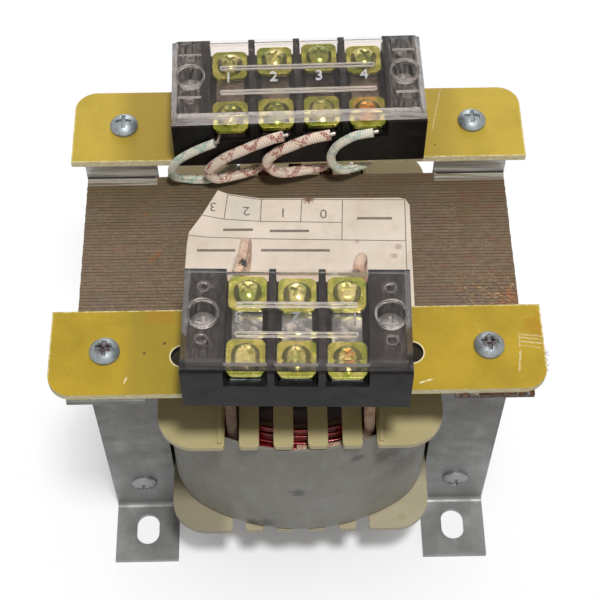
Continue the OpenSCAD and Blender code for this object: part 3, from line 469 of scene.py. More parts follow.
def core_paint():
    """Sheet steel, streaked along each sheet, with rust, wear and painted glints on top, a painted
    reflection band and painted shadow lines along the rear brackets, and varnish on its sides.
    """
    p = Paint("core_steel", metallic=0.15, specular=0.3)
    sheet = p.calc("FLOOR", p.calc("DIVIDE", p.calc("ADD", p.axis("Y"), STACK_HALF), SHEET_PITCH))
    tone = p.node("TexWhiteNoise", {"W": sheet}, noise_dimensions="1D").outputs["Value"]
    fine = p.noise(0.45, 4, (5, 1, 5))
    grain = p.noise(0.5, 3, (1, 2.5, 1))
    shade = p.calc("ADD", p.times(tone, 0.06), p.times(fine, 0.55))
    shade = p.calc("ADD", shade, p.times(grain, 0.45))
    p.colour = p.ramp(shade, (0.3, rgb(80, 66, 50)), (0.5, rgb(109, 91, 72)), (0.66, rgb(127, 108, 87)),
                      (0.85, rgb(162, 143, 117)))
    hue = p.noise(2.2, 4, (3, 1, 3))
    p.tint(p.span(hue, 0.54, 0.7, 0, 0.4), rgb(126, 90, 70))
    p.tint(p.span(hue, 0.46, 0.3, 0, 0.4), rgb(104, 102, 76))
    cloud = p.noise(13, 4)
    p.tint(p.span(cloud, 0.5, 0.68, 0, 0.4), rgb(108, 96, 90))
    p.tint(p.span(cloud, 0.46, 0.3, 0, 0.45), rgb(98, 84, 52))
    olive = p.times(p.span(p.axis("Y"), *OLIVE_Y), p.span(p.noise(10), 0.3, 0.6, 0.3, 0.65))
    p.tint(olive, rgb(92, 78, 52))

    rust = p.most(p.spot(*CORE_RUST), p.span(p.noise(4, 6), 0.62, 0.76, 0, 0.45))
    rust = p.times(rust, p.span(p.noise(0.9, 4), 0.4, 0.6, 0.1, 0.75))
    p.tint(rust, rgb(146, 82, 40))
    red = p.times(p.span(p.axis("X"), *RED_X), p.span(p.noise(3.5, 5), 0.5, 0.66, 0, 0.4))
    p.tint(red, rgb(116, 70, 54))
    # a corner with wear: its bright specks are painted glints, its dark specks wear
    wear_and_glints = p.patch(WEAR_AND_GLINT_CORNER, 4)
    glint = p.noise(0.55, 3, (1.6, 0.6, 1))
    p.tint(p.times(wear_and_glints, p.span(glint, 0.58, 0.66, 0, 0.9)), rgb(206, 160, 104))
    p.tint(p.times(wear_and_glints, p.span(glint, 0.4, 0.32, 0, 0.8)), rgb(52, 36, 26))

    # painted reflection: a band of bright streaks on the core's top along the rear brackets stands for light
    # from their webs
    reflected_band = p.most(*[p.patch(ground, 0.3) for ground in REFLECTION_BANDS])
    streaks = p.span(p.noise(0.5, 3, (30, 1, 1)), 0.4, 0.6, 0.2, 0.9)
    p.tint(p.times(reflected_band, streaks), rgb(176, 172, 160))
    flake = p.most(p.scratch(*FLAKED_LINE), p.spot(*FLAKED_SPOT))
    p.tint(p.times(flake, p.span(p.noise(0.7, 3), 0.35, 0.55, 0.1, 0.8)), rgb(140, 88, 44))
    # painted shadow: dark lines where the core's top meets the rear bracket webs
    p.tint(p.most(*[p.patch(ground, 0.12) for ground in GAP_SHADOWS]), rgb(38, 35, 32))
    p.tint(p.span(p.noise(0.6, 2, (2, 0.7, 2)), 0.74, 0.8, 0, 0.7), rgb(190, 178, 156))

    side = p.span(p.calc("ABSOLUTE", p.facing("Z")), 0.8, 0.4)
    varnish = p.ramp(p.noise(14, 5), (0.3, rgb(78, 72, 66)), (0.55, rgb(98, 92, 86)),
                     (0.75, rgb(116, 108, 100)))
    varnish = p.mix(p.times(rust, 0.8), varnish, rgb(120, 76, 48))
    p.set(base_color=p.mix(p.times(side, 0.8), p.colour, varnish))
    p.set(roughness=p.span(fine, 0.2, 0.8, 0.62, 0.42))
    p.bump(fine, 0.04)
    return p.material


def zinc_paint():
    """Zinc-plated sheet, brushed upward, with painted shade high on the webs and painted light low on them,
    a painted highlight band on the rear webs, and some rust.
    """
    p = Paint("zinc_sheet", metallic=0.6)
    cloud = p.noise(7, 6)
    brushed = p.noise(0.9, 4, (1, 1, 16))
    p.colour = p.ramp(cloud, (0.3, rgb(112, 112, 110)), (0.55, rgb(134, 134, 132)),
                      (0.75, rgb(154, 154, 151)))
    p.tint(p.span(brushed, 0.55, 0.75, 0, 0.35), rgb(98, 98, 97))
    p.tint(p.span(p.noise(2.2, 5), 0.68, 0.76, 0, 0.4), rgb(186, 186, 182))
    web = p.calc("SUBTRACT", 1.0, p.span(p.calc("ABSOLUTE", p.facing("Z")), 0.3, 0.6))
    # painted shade high on the webs, where the boards shadow them, and painted light low on them
    p.tint(p.times(web, p.span(p.axis("Z"), *WEB_SHADE_Z, 0, 0.5)), rgb(84, 80, 76))
    p.tint(p.times(web, p.span(p.axis("Z"), *WEB_LIGHT_Z, 0, 0.5)), rgb(172, 172, 172))
    # painted highlight: bright streaks on the rear webs under the rear board's edge
    streaks = p.span(p.noise(0.7, 3, (30, 1, 1)), 0.35, 0.65, 0.3, 1.0)
    p.tint(p.times(p.patch(REAR_WEB_HIGHLIGHT, 0.4), streaks), rgb(226, 226, 222))
    rust = p.times(p.patch(BRACKET_RUST), p.span(p.noise(1.3, 5), 0.32, 0.48))
    p.tint(rust, p.ramp(p.noise(0.8, 3), (0.4, rgb(44, 30, 26)), (0.65, rgb(104, 66, 46))))
    p.set(base_color=p.colour, roughness=p.span(cloud, 0.25, 0.75, 0.52, 0.4))
    p.bump(brushed, 0.03, 0.15)
    return p.material


def board_paint():
    """Yellow board: the rear one is paler; scratches and rims are chalky, cut sides are frayed, painted
    shade lies near the blocks, and each spare hole has a painted highlight on its rim and painted shade on
    its wall.
    """
    p = Paint("epoxy_board", specular=0.3)
    rear = p.axis("Y")
    cloud = p.noise(16, 4)
    p.colour = p.ramp(cloud, (0.3, rgb(152, 128, 30)), (0.52, rgb(174, 145, 36)), (0.75, rgb(187, 155, 42)))
    # painted shade on the front board near its block
    p.tint(p.times(p.patch(FRONT_BLOCK_SHADE, 3), 0.7), rgb(142, 124, 36))
    lemon = p.ramp(cloud, (0.3, rgb(170, 145, 48)), (0.52, rgb(185, 158, 56)), (0.75, rgb(194, 168, 66)))
    # painted shade over the rear board, heavier to the left
    dull = p.times(p.patch(REAR_BLOCK_SHADE, 4), p.span(p.axis("X"), *REAR_SHADE_X, 0.95, 0.55))
    lemon = p.mix(dull, lemon, rgb(154, 130, 44))
    p.tint(p.span(rear, *MIDDLE_Y), lemon)
    weave = p.noise(0.7, 2)
    p.tint(p.span(weave, 0.55, 0.8, 0, 0.2), rgb(206, 180, 80))
    stain = p.most(*[p.spot(*mark) for mark in BOARD_STAINS])
    p.tint(p.times(stain, 0.5), rgb(164, 116, 16))
    specks = p.most(*[p.spot(*mark) for mark in BOARD_SPECKS], p.span(p.noise(1.6, 1), 0.78, 0.82))
    p.tint(specks, rgb(96, 74, 26))

    lines = []
    for start, end, width, strength in BOARD_SCRATCHES:
        lines.append(p.times(p.scratch((*start, BOARD_Z), (*end, BOARD_Z), width), strength))
    pale = p.times(p.most(*lines), p.span(p.noise(0.8, 3), 0.35, 0.55, 0.25, 1.0))
    chalk = p.times(p.span(p.noise(0.9, 4), 0.68, 0.74, 0, 0.6), p.patch(CHALKED, 4))
    p.tint(p.most(pale, chalk), rgb(250, 242, 212))
    across = p.calc("SUBTRACT", p.axis("X"), p.span(rear, *MIDDLE_Y, FRONT_SHIFT, REAR_SHIFT))
    end = p.span(p.calc("ABSOLUTE", across), BOARD_HALF - 0.45, BOARD_HALF - 0.15)
    rim = p.most(p.span(p.calc("ABSOLUTE", rear), BOARD_EDGE + 0.5, BOARD_EDGE + 0.1), end)
    rim = p.times(rim, p.span(p.noise(1.1, 4), 0.4, 0.6, 0.2, 0.75))
    p.tint(rim, rgb(236, 224, 172))

    side = p.span(p.calc("ABSOLUTE", p.facing("Z")), 0.7, 0.4)
    flat = p.vector("MULTIPLY", p.place(), (1, 1, 0))
    # painted highlight on each spare hole's rim, and painted shade on its wall
    rings = []
    for at in SPARE_HOLES:
        away = p.vector("DISTANCE", flat, (*at, 0), "Value")
        rings.append(p.span(away, SPARE_HOLE_D / 2 + 0.45, SPARE_HOLE_D / 2 + 0.2))
    rim_light_and_wall_shade = p.most(*rings)
    p.tint(p.times(rim_light_and_wall_shade, 0.8), rgb(240, 230, 188))
    fray = p.ramp(p.noise(0.5, 3, (3, 3, 0.6)), (0.35, rgb(214, 198, 142)), (0.65, rgb(248, 240, 208)))
    fray = p.mix(rim_light_and_wall_shade, fray, rgb(34, 28, 20))
    p.set(base_color=p.mix(side, p.colour, fray), roughness=p.span(side, 0, 1, 0.42, 0.8))
    p.bump(weave, 0.02, 0.12)
    return p.material


def bobbin_paint():
    """Cream moulding, yellower above, with painted warm bounce light behind, dirt, painted shade on the
    lower flange's left, and varnish.
    """
    p = Paint("bobbin_nylon", subsurface=0.1, subsurface_scale=mm(2), roughness=0.4)
    p.colour = p.ramp(p.noise(12, 4), (0.3, rgb(164, 155, 126)), (0.7, rgb(182, 173, 145)))
    p.tint(p.span(p.noise(6, 6), 0.56, 0.72, 0, 0.45), rgb(138, 124, 88))
    # painted light: a warm tint toward the rear stands for light thrown back from the yellow boards
    p.tint(p.span(p.axis("Y"), *REAR_BOUNCE_Y, 0, 0.5), rgb(196, 160, 104))
    p.tint(p.span(p.axis("Z"), *YELLOW_Z, 0, 0.5), rgb(192, 176, 112))
    # painted shade on the left of the lower flange
    p.tint(p.times(p.patch(BOBBIN_LEFT_SHADE, 3), 0.6), rgb(118, 112, 92))
    varnish = p.times(p.patch(BOBBIN_VARNISH, 2), p.span(p.noise(5, 4), 0.3, 0.6, 0.5, 0.9))
    p.set(base_color=p.mix(varnish, p.colour, rgb(168, 118, 58)))
    p.bump(p.noise(1.2, 3), 0.03, 0.25)
    return p.material


def wrap_paint():
    """Grey-green paper with fibres, mottling, soot and brown stains, a little creased."""
    p = Paint("wrap_paper", sheen=0.05, specular=0.4)
    cloud = p.noise(30, 4)
    fibre = p.noise(0.5, 4, (1, 1, 5))
    p.colour = p.ramp(cloud, (0.3, rgb(122, 120, 108)), (0.7, rgb(138, 135, 127)))
    p.tint(p.span(fibre, 0.5, 0.8, 0, 0.2), rgb(116, 114, 104))
    mottle = p.noise(4, 6, (1, 1, 2))
    p.tint(p.span(mottle, 0.5, 0.7, 0, 0.4), rgb(150, 149, 140))
    p.tint(p.span(mottle, 0.45, 0.3, 0, 0.35), rgb(104, 102, 88))
    p.tint(p.span(p.noise(9, 5, (2, 1, 1)), 0.58, 0.72, 0, 0.3), rgb(142, 126, 104))
    smears = [p.spot(at, radius, 1.0, radius / 3) for at, radius in WRAP_SMEARS]
    marks = p.most(*[p.spot(*mark) for mark in WRAP_SOOT], *smears)
    p.tint(p.times(marks, 0.8), rgb(70, 66, 62))
    brown = p.most(*[p.spot(*mark) for mark in WRAP_BROWN], p.times(p.spot(*WRAP_FAINT), 0.6))
    p.tint(p.times(brown, 0.75), rgb(88, 68, 62))
    p.set(base_color=p.colour, roughness=p.span(cloud, 0.2, 0.8, 0.58, 0.45))
    creases = p.noise(18, 2, (2.5, 1, 0.8))
    p.bump(p.calc("ADD", p.times(creases, 6.0), fibre), 0.06)
    return p.material


def enamel_paint(name, dark, middle, light, gloss):
    """Enamelled wire under a clear coat."""
    p = Paint(name, metallic=0.4, coat=gloss, coat_roughness=0.08)
    tone = p.noise(4, 4)
    p.set(base_color=p.ramp(tone, (0.3, dark), (0.55, middle), (0.8, light)))
    p.set(roughness=p.span(tone, 0.2, 0.8, 0.3, 0.18))
    return p.material


def insulation_paint():
    """Brown varnished paper, darkened as painted shade."""
    p = Paint("coil_insulation", roughness=0.6)
    p.set(base_color=p.ramp(p.noise(3, 4), (0.3, rgb(64, 44, 28)), (0.7, rgb(92, 68, 42))))
    p.bump(p.noise(0.6, 3), 0.03)
    return p.material


def block_paint(name, dark, light, dust):
    """Dark moulding with dust on the faces that look up."""
    p = Paint(name, specular=0.15)
    cloud = p.noise(5, 5)
    p.colour = p.ramp(cloud, (0.3, dark), (0.72, light))
    grey = p.times(p.span(p.noise(2.4, 6), 0.5, 0.75), p.span(p.facing("Z"), 0.2, 0.9, 0.25, 1.0))
    p.tint(p.times(grey, dust), rgb(126, 120, 122))
    p.set(base_color=p.colour, roughness=p.span(cloud, 0.2, 0.8, 0.5, 0.38))
    p.bump(p.noise(0.45, 3), 0.03, 0.25)
    return p.material


def cover_paint(name, top, back, ends, hatched, rubbed):
    """Clear plastic, hatched beyond ends to either side, with ribs up to the height top whitened as a
    painted highlight;
    the skirt is rubbed but for the rear wall, which ends at back, and the front skirt's lower rim is
    darkened as painted shade."""
    p = Paint(name, ior=1.26)
    plate = top - RELIEF
    wall = [back - away for away in REAR_WALL]
    flat = p.span(p.facing("Z"), 0.85, 0.95)
    away = p.calc("ABSOLUTE", p.axis("X"))
    # painted highlight: the raised ribs and rings are whitened
    relief_highlight = p.span(p.axis("Z"), plate + 0.08, plate + 0.2)
    relief_highlight = p.times(relief_highlight, p.span(away, ends - 1.5, ends - 1, 0.36, 0.14))
    hatch = p.span(p.noise(0.8, 3, (0.6, 5, 1)), 0.46, 0.64)
    hatch = p.times(hatch, flat, p.span(away, ends - 0.5, ends + 0.5, 0.01, hatched))
    skirt = p.times(p.span(p.calc("ABSOLUTE", p.facing("Z")), 0.85, 0.6), rubbed,
                    p.span(p.noise(1.5, 4, (6, 1, 1)), 0.25, 0.7, 0.3, 1.0),
                    p.span(p.axis("Y"), *wall, 1.0, 0.1))
    white = p.most(relief_highlight, skirt, hatch)
    clear = p.ramp(p.noise(9, 3), (0.3, rgb(236, 224, 216)), (0.7, rgb(244, 235, 229)))
    clear = p.mix(p.span(p.axis("Y"), *wall), clear, rgb(249, 247, 246))
    low = plate - SKIRT_H
    # painted shade: the front skirt's lower rim is tinted dark
    rim = p.times(p.span(p.axis("Z"), low + 0.4, low + 0.15), p.span(p.axis("Y"), *FRONT_SKIRT_Y))
    clear = p.mix(rim, clear, rgb(52, 48, 46))
    p.set(base_color=p.mix(white, clear, rgb(240, 234, 230)))
    p.set(transmission=p.calc("SUBTRACT", 1.0, p.times(white, 0.85)))
    p.set(roughness=p.times(white, 0.4))
    return p.material


def plated_paint(name, low, middle, high, rough, stain=None):
    """Plated metal whose tint drifts, with a warm stain where one is given."""
    p = Paint(name, metallic=0.85)
    p.colour = p.ramp(p.noise(5.0, 3, warp=1.0), (0.34, low), (0.5, middle), (0.66, high))
    if stain:
        p.tint(p.spot(*stain), rgb(190, 132, 60))
    p.set(base_color=p.colour, roughness=p.span(p.noise(1.6, 3), 0.2, 0.8, rough - 0.06, rough + 0.1))
    p.bump(p.noise(1.5, 3), 0.02, 0.2)
    return p.material


def screw_paint(name, base, stain, rusty=()):
    """Plated metal with stains, and rust at each of the given marks."""
    p = Paint(name, metallic=0.75)
    p.colour = p.mix(p.span(p.noise(0.9, 5), 0.5, 0.72, 0, 0.6), base, stain)
    for mark in rusty:
        rust = p.times(p.spot(*mark), p.span(p.noise(0.6, 4), 0.35, 0.55, 0.55, 1.0))
        p.tint(rust, rgb(56, 36, 27))
    p.set(base_color=p.colour, roughness=p.span(p.noise(0.7, 4), 0.2, 0.8, 0.36, 0.56))
    p.bump(p.noise(0.6, 4), 0.05, 0.2)
    return p.material


def sleeve_paint(name, base, shade, fleck, amount, burn=None):
    """Woven glass sleeve: UV runs round it and along it in mm, the braid's low places get painted shade,
    coloured yarns show where they pass over, and a sleeve with a burnt mark has painted shade below."""
    p = Paint(name, roughness=0.62, sheen=0.2)
    uv = p.node("SeparateXYZ", {"Vector": p.node("UVMap").outputs[0]})
    round_ = uv.outputs["X"]
    along = uv.outputs["Y"]

    def twist(turns, pitch):
        angle = p.calc("ADD", p.times(round_, turns * math.tau), p.times(along, math.tau / pitch))
        return p.calc("SINE", angle)

    weave = p.times(twist(BRAID_ROWS, BRAID_PITCH), twist(BRAID_ROWS, -BRAID_PITCH))
    # the braid's low places take the shade colour as painted shade
    p.colour = p.ramp(p.span(weave, -0.9, 0.9), (0.1, shade), (0.6, base))
    p.tint(p.span(p.noise(3, 4), 0.5, 0.75, 0, 0.3), shade)
    yarn = p.most(p.span(twist(1, YARN_PITCH), 0.6, 0.8), p.span(twist(1, -YARN_PITCH), 0.7, 0.88))
    over = p.times(yarn, p.span(weave, -0.35, 0.05), p.span(p.noise(1.1, 2), 0.4, 0.5, 0.1, 1.0))
    p.tint(p.times(over, amount), fleck)
    if burn:
        # painted shade on this sleeve below the core's top
        p.tint(p.span(p.axis("Z"), *SLEEVE_SHADE_Z, 0, 0.75), rgb(74, 50, 36))
        p.tint(p.spot(*burn), rgb(30, 20, 16))
    p.set(base_color=p.colour)
    p.bump(weave, 0.1)
    return p.material


def wire_paint():
    """Tinned copper wire."""
    p = Paint("tinned_wire", metallic=1.0)
    p.set(base_color=p.ramp(p.noise(1.2, 3), (0.3, rgb(132, 118, 106)), (0.7, rgb(190, 184, 178))))
    p.set(roughness=p.span(p.noise(0.6, 3), 0.2, 0.8, 0.25, 0.4))
    return p.material


def paper_paint():
    """Aged paper with a bluish cast in one place, specks and rust stains."""
    p = Paint("label_paper", roughness=0.6, specular=0.3)
    p.colour = p.ramp(p.noise(9, 4), (0.3, rgb(216, 201, 184)), (0.7, rgb(232, 217, 201)))
    p.tint(p.times(p.spot(*LABEL_BLUE), 0.4), rgb(202, 206, 196))
    p.tint(p.span(p.noise(5, 6), 0.5, 0.75, 0, 0.3), rgb(196, 178, 152))
    p.tint(p.span(p.noise(0.8, 3), 0.66, 0.78, 0, 0.5), rgb(160, 138, 110))
    faint = [p.times(p.spot(*mark), 0.4) for mark in LABEL_SPOTS]
    p.tint(p.most(p.spot(*LABEL_RUST), *faint), rgb(116, 74, 46))
    p.set(base_color=p.colour)
    p.bump(p.noise(5, 4), 0.06)
    return p.material


def mottled_paint(name, rough, dark, light):
    """Dull and finely mottled: faded ink, or uncoated glass fibre."""
    p = Paint(name, roughness=rough)
    p.set(base_color=p.ramp(p.noise(0.5, 3), (0.35, dark), (0.7, light)))
    return p.material


def frost_paint():
    """Raised digits of a clear cover, duller than its plate."""
    p = Paint("cover_relief", transmission=0.7, ior=1.38)
    p.set(base_color=p.ramp(p.noise(0.6, 3), (0.3, rgb(232, 232, 236)), (0.7, rgb(252, 252, 252))))
    p.set(roughness=p.span(p.noise(0.5, 3), 0.2, 0.8, 0.25, 0.45))
    return p.material


def floor_paint():
    """Pale floor that keeps its shadows: near white where seen, duller where it only lights the part."""
    p = Paint("pale_floor", roughness=0.9, specular=0.1)
    seen = seen_rays(p.tree)
    white = p.ramp(p.noise(60, 2), (0.3, rgb(252, 252, 252)), (0.7, rgb(255, 255, 255)))
    p.set(base_color=p.mix(seen, rgb(160, 160, 160), white))
    glow = p.node("Emission", {"Color": (1, 1, 1, 1), "Strength": 1.0}).outputs[0]
    away = p.node("VectorMath", {0: p.place()}, operation="LENGTH").outputs["Value"]
    # painted light: where seen, the floor glows more the farther it lies from the middle of the part
    share = p.calc("ADD", p.span(away, *SHADOW_FADE, 0.12, 0.85), p.span(away, *FAR_FADE, 0, 0.15))
    inputs = {0: p.times(seen, share), 1: p.shader.outputs[0], 2: glow}
    p.tree.links.new(p.node("MixShader", inputs).outputs[0], p.output.inputs[0])
    return p.material


# Shapes


class Shape:
    """Points and faces of a piece, gathered form by form, and the way round and along its tubes."""

    def __init__(self):
        self.verts = []
        self.faces = []
        self.uv = []

    def add(self, verts, faces):
        """Adds points, and faces that count them from 0."""
        n = len(self.verts)
        self.verts += verts
        self.faces += [[n + i for i in face] for face in faces]

    def prism(self, ring, low, high):
        """Adds an upright prism between two heights, over a ring of four x, y points."""
        self.add([(x, y, z) for z in (low, high) for x, y in ring],
                 ((3, 2, 1, 0), (4, 5, 6, 7), (0, 1, 5, 4), (1, 2, 6, 5), (2, 3, 7, 6), (3, 0, 4, 7)))

    def box(self, low, high):
        """Adds a box between two corners."""
        xs, ys, zs = zip(low, high)
        self.prism([(xs[0], ys[0]), (xs[1], ys[0]), (xs[1], ys[1]), (xs[0], ys[1])], *zs)

    def tube(self, line, radius, sides, closed=False, relief=None):
        """Adds a tube along a line of points; relief(round, along) gives its surface's height in mm."""
        n = len(line)
        verts = []
        faces = []
        along = 0.0
        side = None
        for i, p in enumerate(line):
            ahead = line[(i + 1) % n] if closed or i + 1 < n else p
            behind = line[i - 1] if closed or i else p
            way = (ahead - behind).normalized()
            if side is None:
                side = way.orthogonal().normalized()
            side = (side - way * side.dot(way)).normalized()
            up = way.cross(side)
            along += (p - behind).length if i else 0.0
            for k in range(sides):
                a = math.tau * k / sides
                r = radius + (relief(k / sides, along) if relief else 0.0)
                verts.append(p + side * (r * math.cos(a)) + up * (r * math.sin(a)))
                self.uv.append((k / sides, along))
        for i in range(n if closed else n - 1):
            here = i * sides
            there = (i + 1) % n * sides
            for k in range(sides):
                j = (k + 1) % sides
                faces.append((here + k, here + j, there + j, there + k))
        if not closed:
            faces.append(range(sides - 1, -1, -1))
            faces.append(range((n - 1) * sides, n * sides))
        self.add(verts, faces)

    def ribbon(self, line, width, z, thick):
        """Adds a flat stroke along a line of x, y points."""
        for (ax, ay), (bx, by) in zip(line, line[1:]):
            along = Vector((bx - ax, by - ay)).normalized()
            side = Vector((-along.y, along.x)) * (width / 2)
            ring = [(ax - side.x, ay - side.y), (bx - side.x, by - side.y),
                    (bx + side.x, by + side.y), (ax + side.x, ay + side.y)]
            self.prism(ring, z, z + thick)

    def digit(self, text, height, at, z, thick, turn):
        """Adds a plain digit, about its own middle."""
        curve = bpy.data.curves.new("digit", "FONT")
        curve.body = text
        curve.extrude = 0.05  # any depth will do
        outline = bpy.data.objects.new("digit", curve)
        mesh = bpy.data.meshes.new_from_object(outline)
        xs, ys = ([v.co[i] for v in mesh.vertices] for i in (0, 1))
        scale = height / (max(ys) - min(ys))
        mid_x = (max(xs) + min(xs)) / 2
        mid_y = (max(ys) + min(ys)) / 2
        c = math.cos(math.radians(turn))
        s = math.sin(math.radians(turn))
        verts = []
        for v in mesh.vertices:
            x = (v.co.x - mid_x) * scale
            y = (v.co.y - mid_y) * scale
            verts.append((at[0] + c * x - s * y, at[1] + s * x + c * y, z + thick * (v.co.z > 0)))
        self.add(verts, [face.vertices for face in mesh.polygons])
        bpy.data.objects.remove(outline)
        bpy.data.curves.remove(curve)
        bpy.data.meshes.remove(mesh)

    def piece(self, name, paint, replaces=(), smooth=False, unwrap=False):
        """Makes a piece of the part, riding on its one body."""
        mesh = bpy.data.meshes.new(name)
        mesh.from_pydata([Vector(v) / METRE for v in self.verts], [], self.faces)
        if unwrap:
            layer = mesh.uv_layers.new(name="UVMap")
            for loop in mesh.loops:
                layer.data[loop.index].uv = self.uv[loop.vertex_index]
        mesh.materials.append(paint)
        mesh.update()
        if smooth:
            for face in mesh.polygons:
                face.use_smooth = True
        obj = bpy.data.objects.new(name, mesh)
        scene.collection.objects.link(obj)
        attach(obj, "root")
        if replaces:
            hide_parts(*replaces)


def curve_through(points, step):
    """Points about step apart on a smooth curve through the given ones."""
    pts = [Vector(p) for p in points]
    pts = [pts[0] * 2 - pts[1]] + pts + [pts[-1] * 2 - pts[-2]]
    out = []
    for a, b, c, d in zip(pts, pts[1:], pts[2:], pts[3:]):
        count = max(2, round((c - b).length / step))
        for k in range(count):
            t = k / count
            out.append(0.5 * (2 * b + (c - a) * t + (2 * a - 5 * b + 4 * c - d) * t * t
                              + (3 * b - 3 * c + d - a) * t ** 3))
    return out + [pts[-2]]


def soften(name, width, segments):
    """Rounds the sharp edges of a CAD node."""
    weld = nodes[name].modifiers.new("weld", "WELD")
    weld.merge_threshold = mm(WELD_GAP)
    bevel = nodes[name].modifiers.new("bevel", "BEVEL")
    bevel.width = mm(width)
    bevel.segments = segments
    bevel.limit_method = "ANGLE"
    bevel.angle_limit = math.radians(SHARP_ANGLE)
    bevel.use_clamp_overlap = True
    bevel.harden_normals = True


def dress(paint, *names):
    """Gives CAD nodes a material."""
    for name in names:
        nodes[name].data.materials.clear()
        nodes[name].data.materials.append(paint)


# Core: single sheets with gaps between them, round a plain body

core_low, core_high = (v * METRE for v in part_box("core_e_sheets"))
core_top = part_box("paper_label")[0].z * METRE - LABEL_GAP
sheets = Shape()
yokes_and_legs = [
    (core_low.x, core_top - LEG, core_high.x, core_top),
    (core_low.x, core_low.z, core_high.x, core_low.z + LEG),
    (core_low.x, core_low.z, core_low.x + LEG, core_top),
    (core_high.x - LEG, core_low.z, core_high.x, core_top),
]
for x0, z0, x1, z1 in yokes_and_legs:
    sheets.box((x0 + BODY_INSET, core_low.y + BODY_INSET, z0 + BODY_INSET),
               (x1 - BODY_INSET, core_high.y - BODY_INSET, z1 - BODY_INSET))
count = round((core_high.y - core_low.y) / SHEET_PITCH)
pitch = (core_high.y - core_low.y) / count
for i in range(count):
    y0 = core_low.y + i * pitch
    y1 = core_low.y + (i + 1) * pitch - SHEET_GAP * rng.uniform(*GAP_SPREAD)
    if i == count - 1:
        y1 = core_high.y
    x0 = core_low.x - rng.uniform(0, UNEVEN_SIDE)
    x1 = core_high.x + rng.uniform(0, UNEVEN_SIDE)
    z0 = core_low.z - rng.uniform(0, UNEVEN_FOOT)
    z1 = core_top - rng.uniform(0, UNEVEN_TOP)
    joint = JOINT if i % 2 else 0.0
    sheets.box((x0, y0, z1 - LEG), (x1, y1, z1))
    sheets.box((x0, y0, z0), (x1, y1, z0 + LEG))
    for a, b in ((x0, x0 + LEG), (x1 - LEG, x1), (-LEG, LEG)):
        sheets.box((a, y0, z0 + LEG + JOINT - joint), (b, y1, z1 - LEG - joint))
sheets.piece("core_sheets", core_paint(), ("core_e_sheets", "core_i_sheets"))

# Coil: turns of wire along the upper edge of the outer winding

wrap_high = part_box("outer_wrap")[1] * METRE
face_y = core_high.y
shoulder_x = wrap_high.x - SHOULDER_R
reach = wrap_high.y - face_y
bow_r = (shoulder_x ** 2 + reach ** 2 - SHOULDER_R ** 2) / (2 * (reach - SHOULDER_R))
bow_y = face_y + reach - bow_r
turn_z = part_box("outer_winding")[1].z * METRE + TURN_LIFT


def coil_loop(inward, z, wobble):
    """A closed turn round the coil, drawn in from the outside of the wrap."""
    side_r = SHOULDER_R - inward
    arc_r = bow_r - inward
    meet = math.atan2(shoulder_x, face_y - bow_y)
    rest = math.pi / 2 - meet
    quarter = [Vector((arc_r * math.sin(a), bow_y + arc_r * math.cos(a), z))
               for a in (meet * k / BOW_STEPS for k in range(BOW_STEPS))]
    quarter += [Vector((shoulder_x + side_r * math.sin(a), face_y + side_r * math.cos(a), z))
                for a in (meet + rest * k / SHOULDER_STEPS for k in range(SHOULDER_STEPS + 1))]
    quarter += [Vector((wrap_high.x - inward, face_y * (1 - k / SIDE_STEPS), z))
                for k in range(1, SIDE_STEPS)]
    right = quarter + [Vector((p.x, -p.y, p.z)) for p in reversed(quarter)]
    loop = right + [Vector((-p.x, p.y, p.z)) for p in reversed(right)]
    spaced = [loop[0]]
    for p in loop[1:]:
        if (p - spaced[-1]).length > LEAST_STEP:
            spaced.append(p)
    if (spaced[-1] - spaced[0]).length < LEAST_STEP:
        spaced.pop()
    phase = rng.uniform(0, math.tau)
    waves = TURN_WAVES * math.tau / len(spaced)
    return [p + Vector((0, 0, wobble * math.sin(phase + waves * i))) for i, p in enumerate(spaced)]


enamel = enamel_paint("red_enamel", rgb(92, 12, 14), rgb(156, 22, 24), rgb(196, 54, 44), 0.7)
winding = Shape()
for layer, rise in enumerate(TURN_RISES):
    for row in range(TURN_ROWS):
        inward = WRAP_T + (layer + 0.5) * TURN_D + rng.uniform(-TURN_PLAY, TURN_PLAY)
        line = coil_loop(inward, turn_z + rise - TURN_PITCH * row, TURN_WOBBLE)
        winding.tube(line, TURN_D / 2 * TURN_FILL, TURN_SIDES, closed=True)
winding.piece("winding_turns", enamel, smooth=True)

# Leads: woven sleeves, with bare wire at their ends

white = (rgb(241, 236, 216), rgb(198, 192, 172))
rosy = (rgb(244, 226, 207), rgb(208, 182, 162))
tan = (rgb(234, 202, 174), rgb(184, 146, 118))
sleeves = {
    "rear_lead_1": sleeve_paint("sleeve_green_a", *white, rgb(104, 178, 170), 0.8),
    "rear_lead_2": sleeve_paint("sleeve_red_a", *rosy, rgb(146, 34, 34), 1.0),
    "rear_lead_3": sleeve_paint("sleeve_red_b", *rosy, rgb(150, 40, 38), 0.95),
    "rear_lead_4": sleeve_paint("sleeve_green_b", *white, rgb(116, 184, 176), 0.65),
    "front_lead_left": sleeve_paint("sleeve_tan_a", *tan, rgb(168, 84, 60), 0.5, BURN),
    "front_lead_right": sleeve_paint("sleeve_tan_b", *tan, rgb(168, 78, 56), 0.6),
}


def braid(round_, along):
    """Height of the braid at a share of the way round and a length along."""
    one_way = math.sin(math.tau * (BRAID_ROWS * round_ + along / BRAID_PITCH))
    other_way = math.sin(math.tau * (BRAID_ROWS * round_ - along / BRAID_PITCH))
    return BRAID_RELIEF * one_way * other_way


for name, route in LEADS.items():
    sleeve = Shape()
    width = THIN_SLEEVE_D if name in THIN_LEADS else SLEEVE_D
    sleeve.tube(curve_through(route, SLEEVE_STEP), width / 2, SLEEVE_SIDES, relief=braid)
    sleeve.piece("woven_" + name, sleeves[name], (name,), smooth=True, unwrap=True)

dress(wire_paint(), "rear_wires", "front_wires")

# Pieces that keep their solids

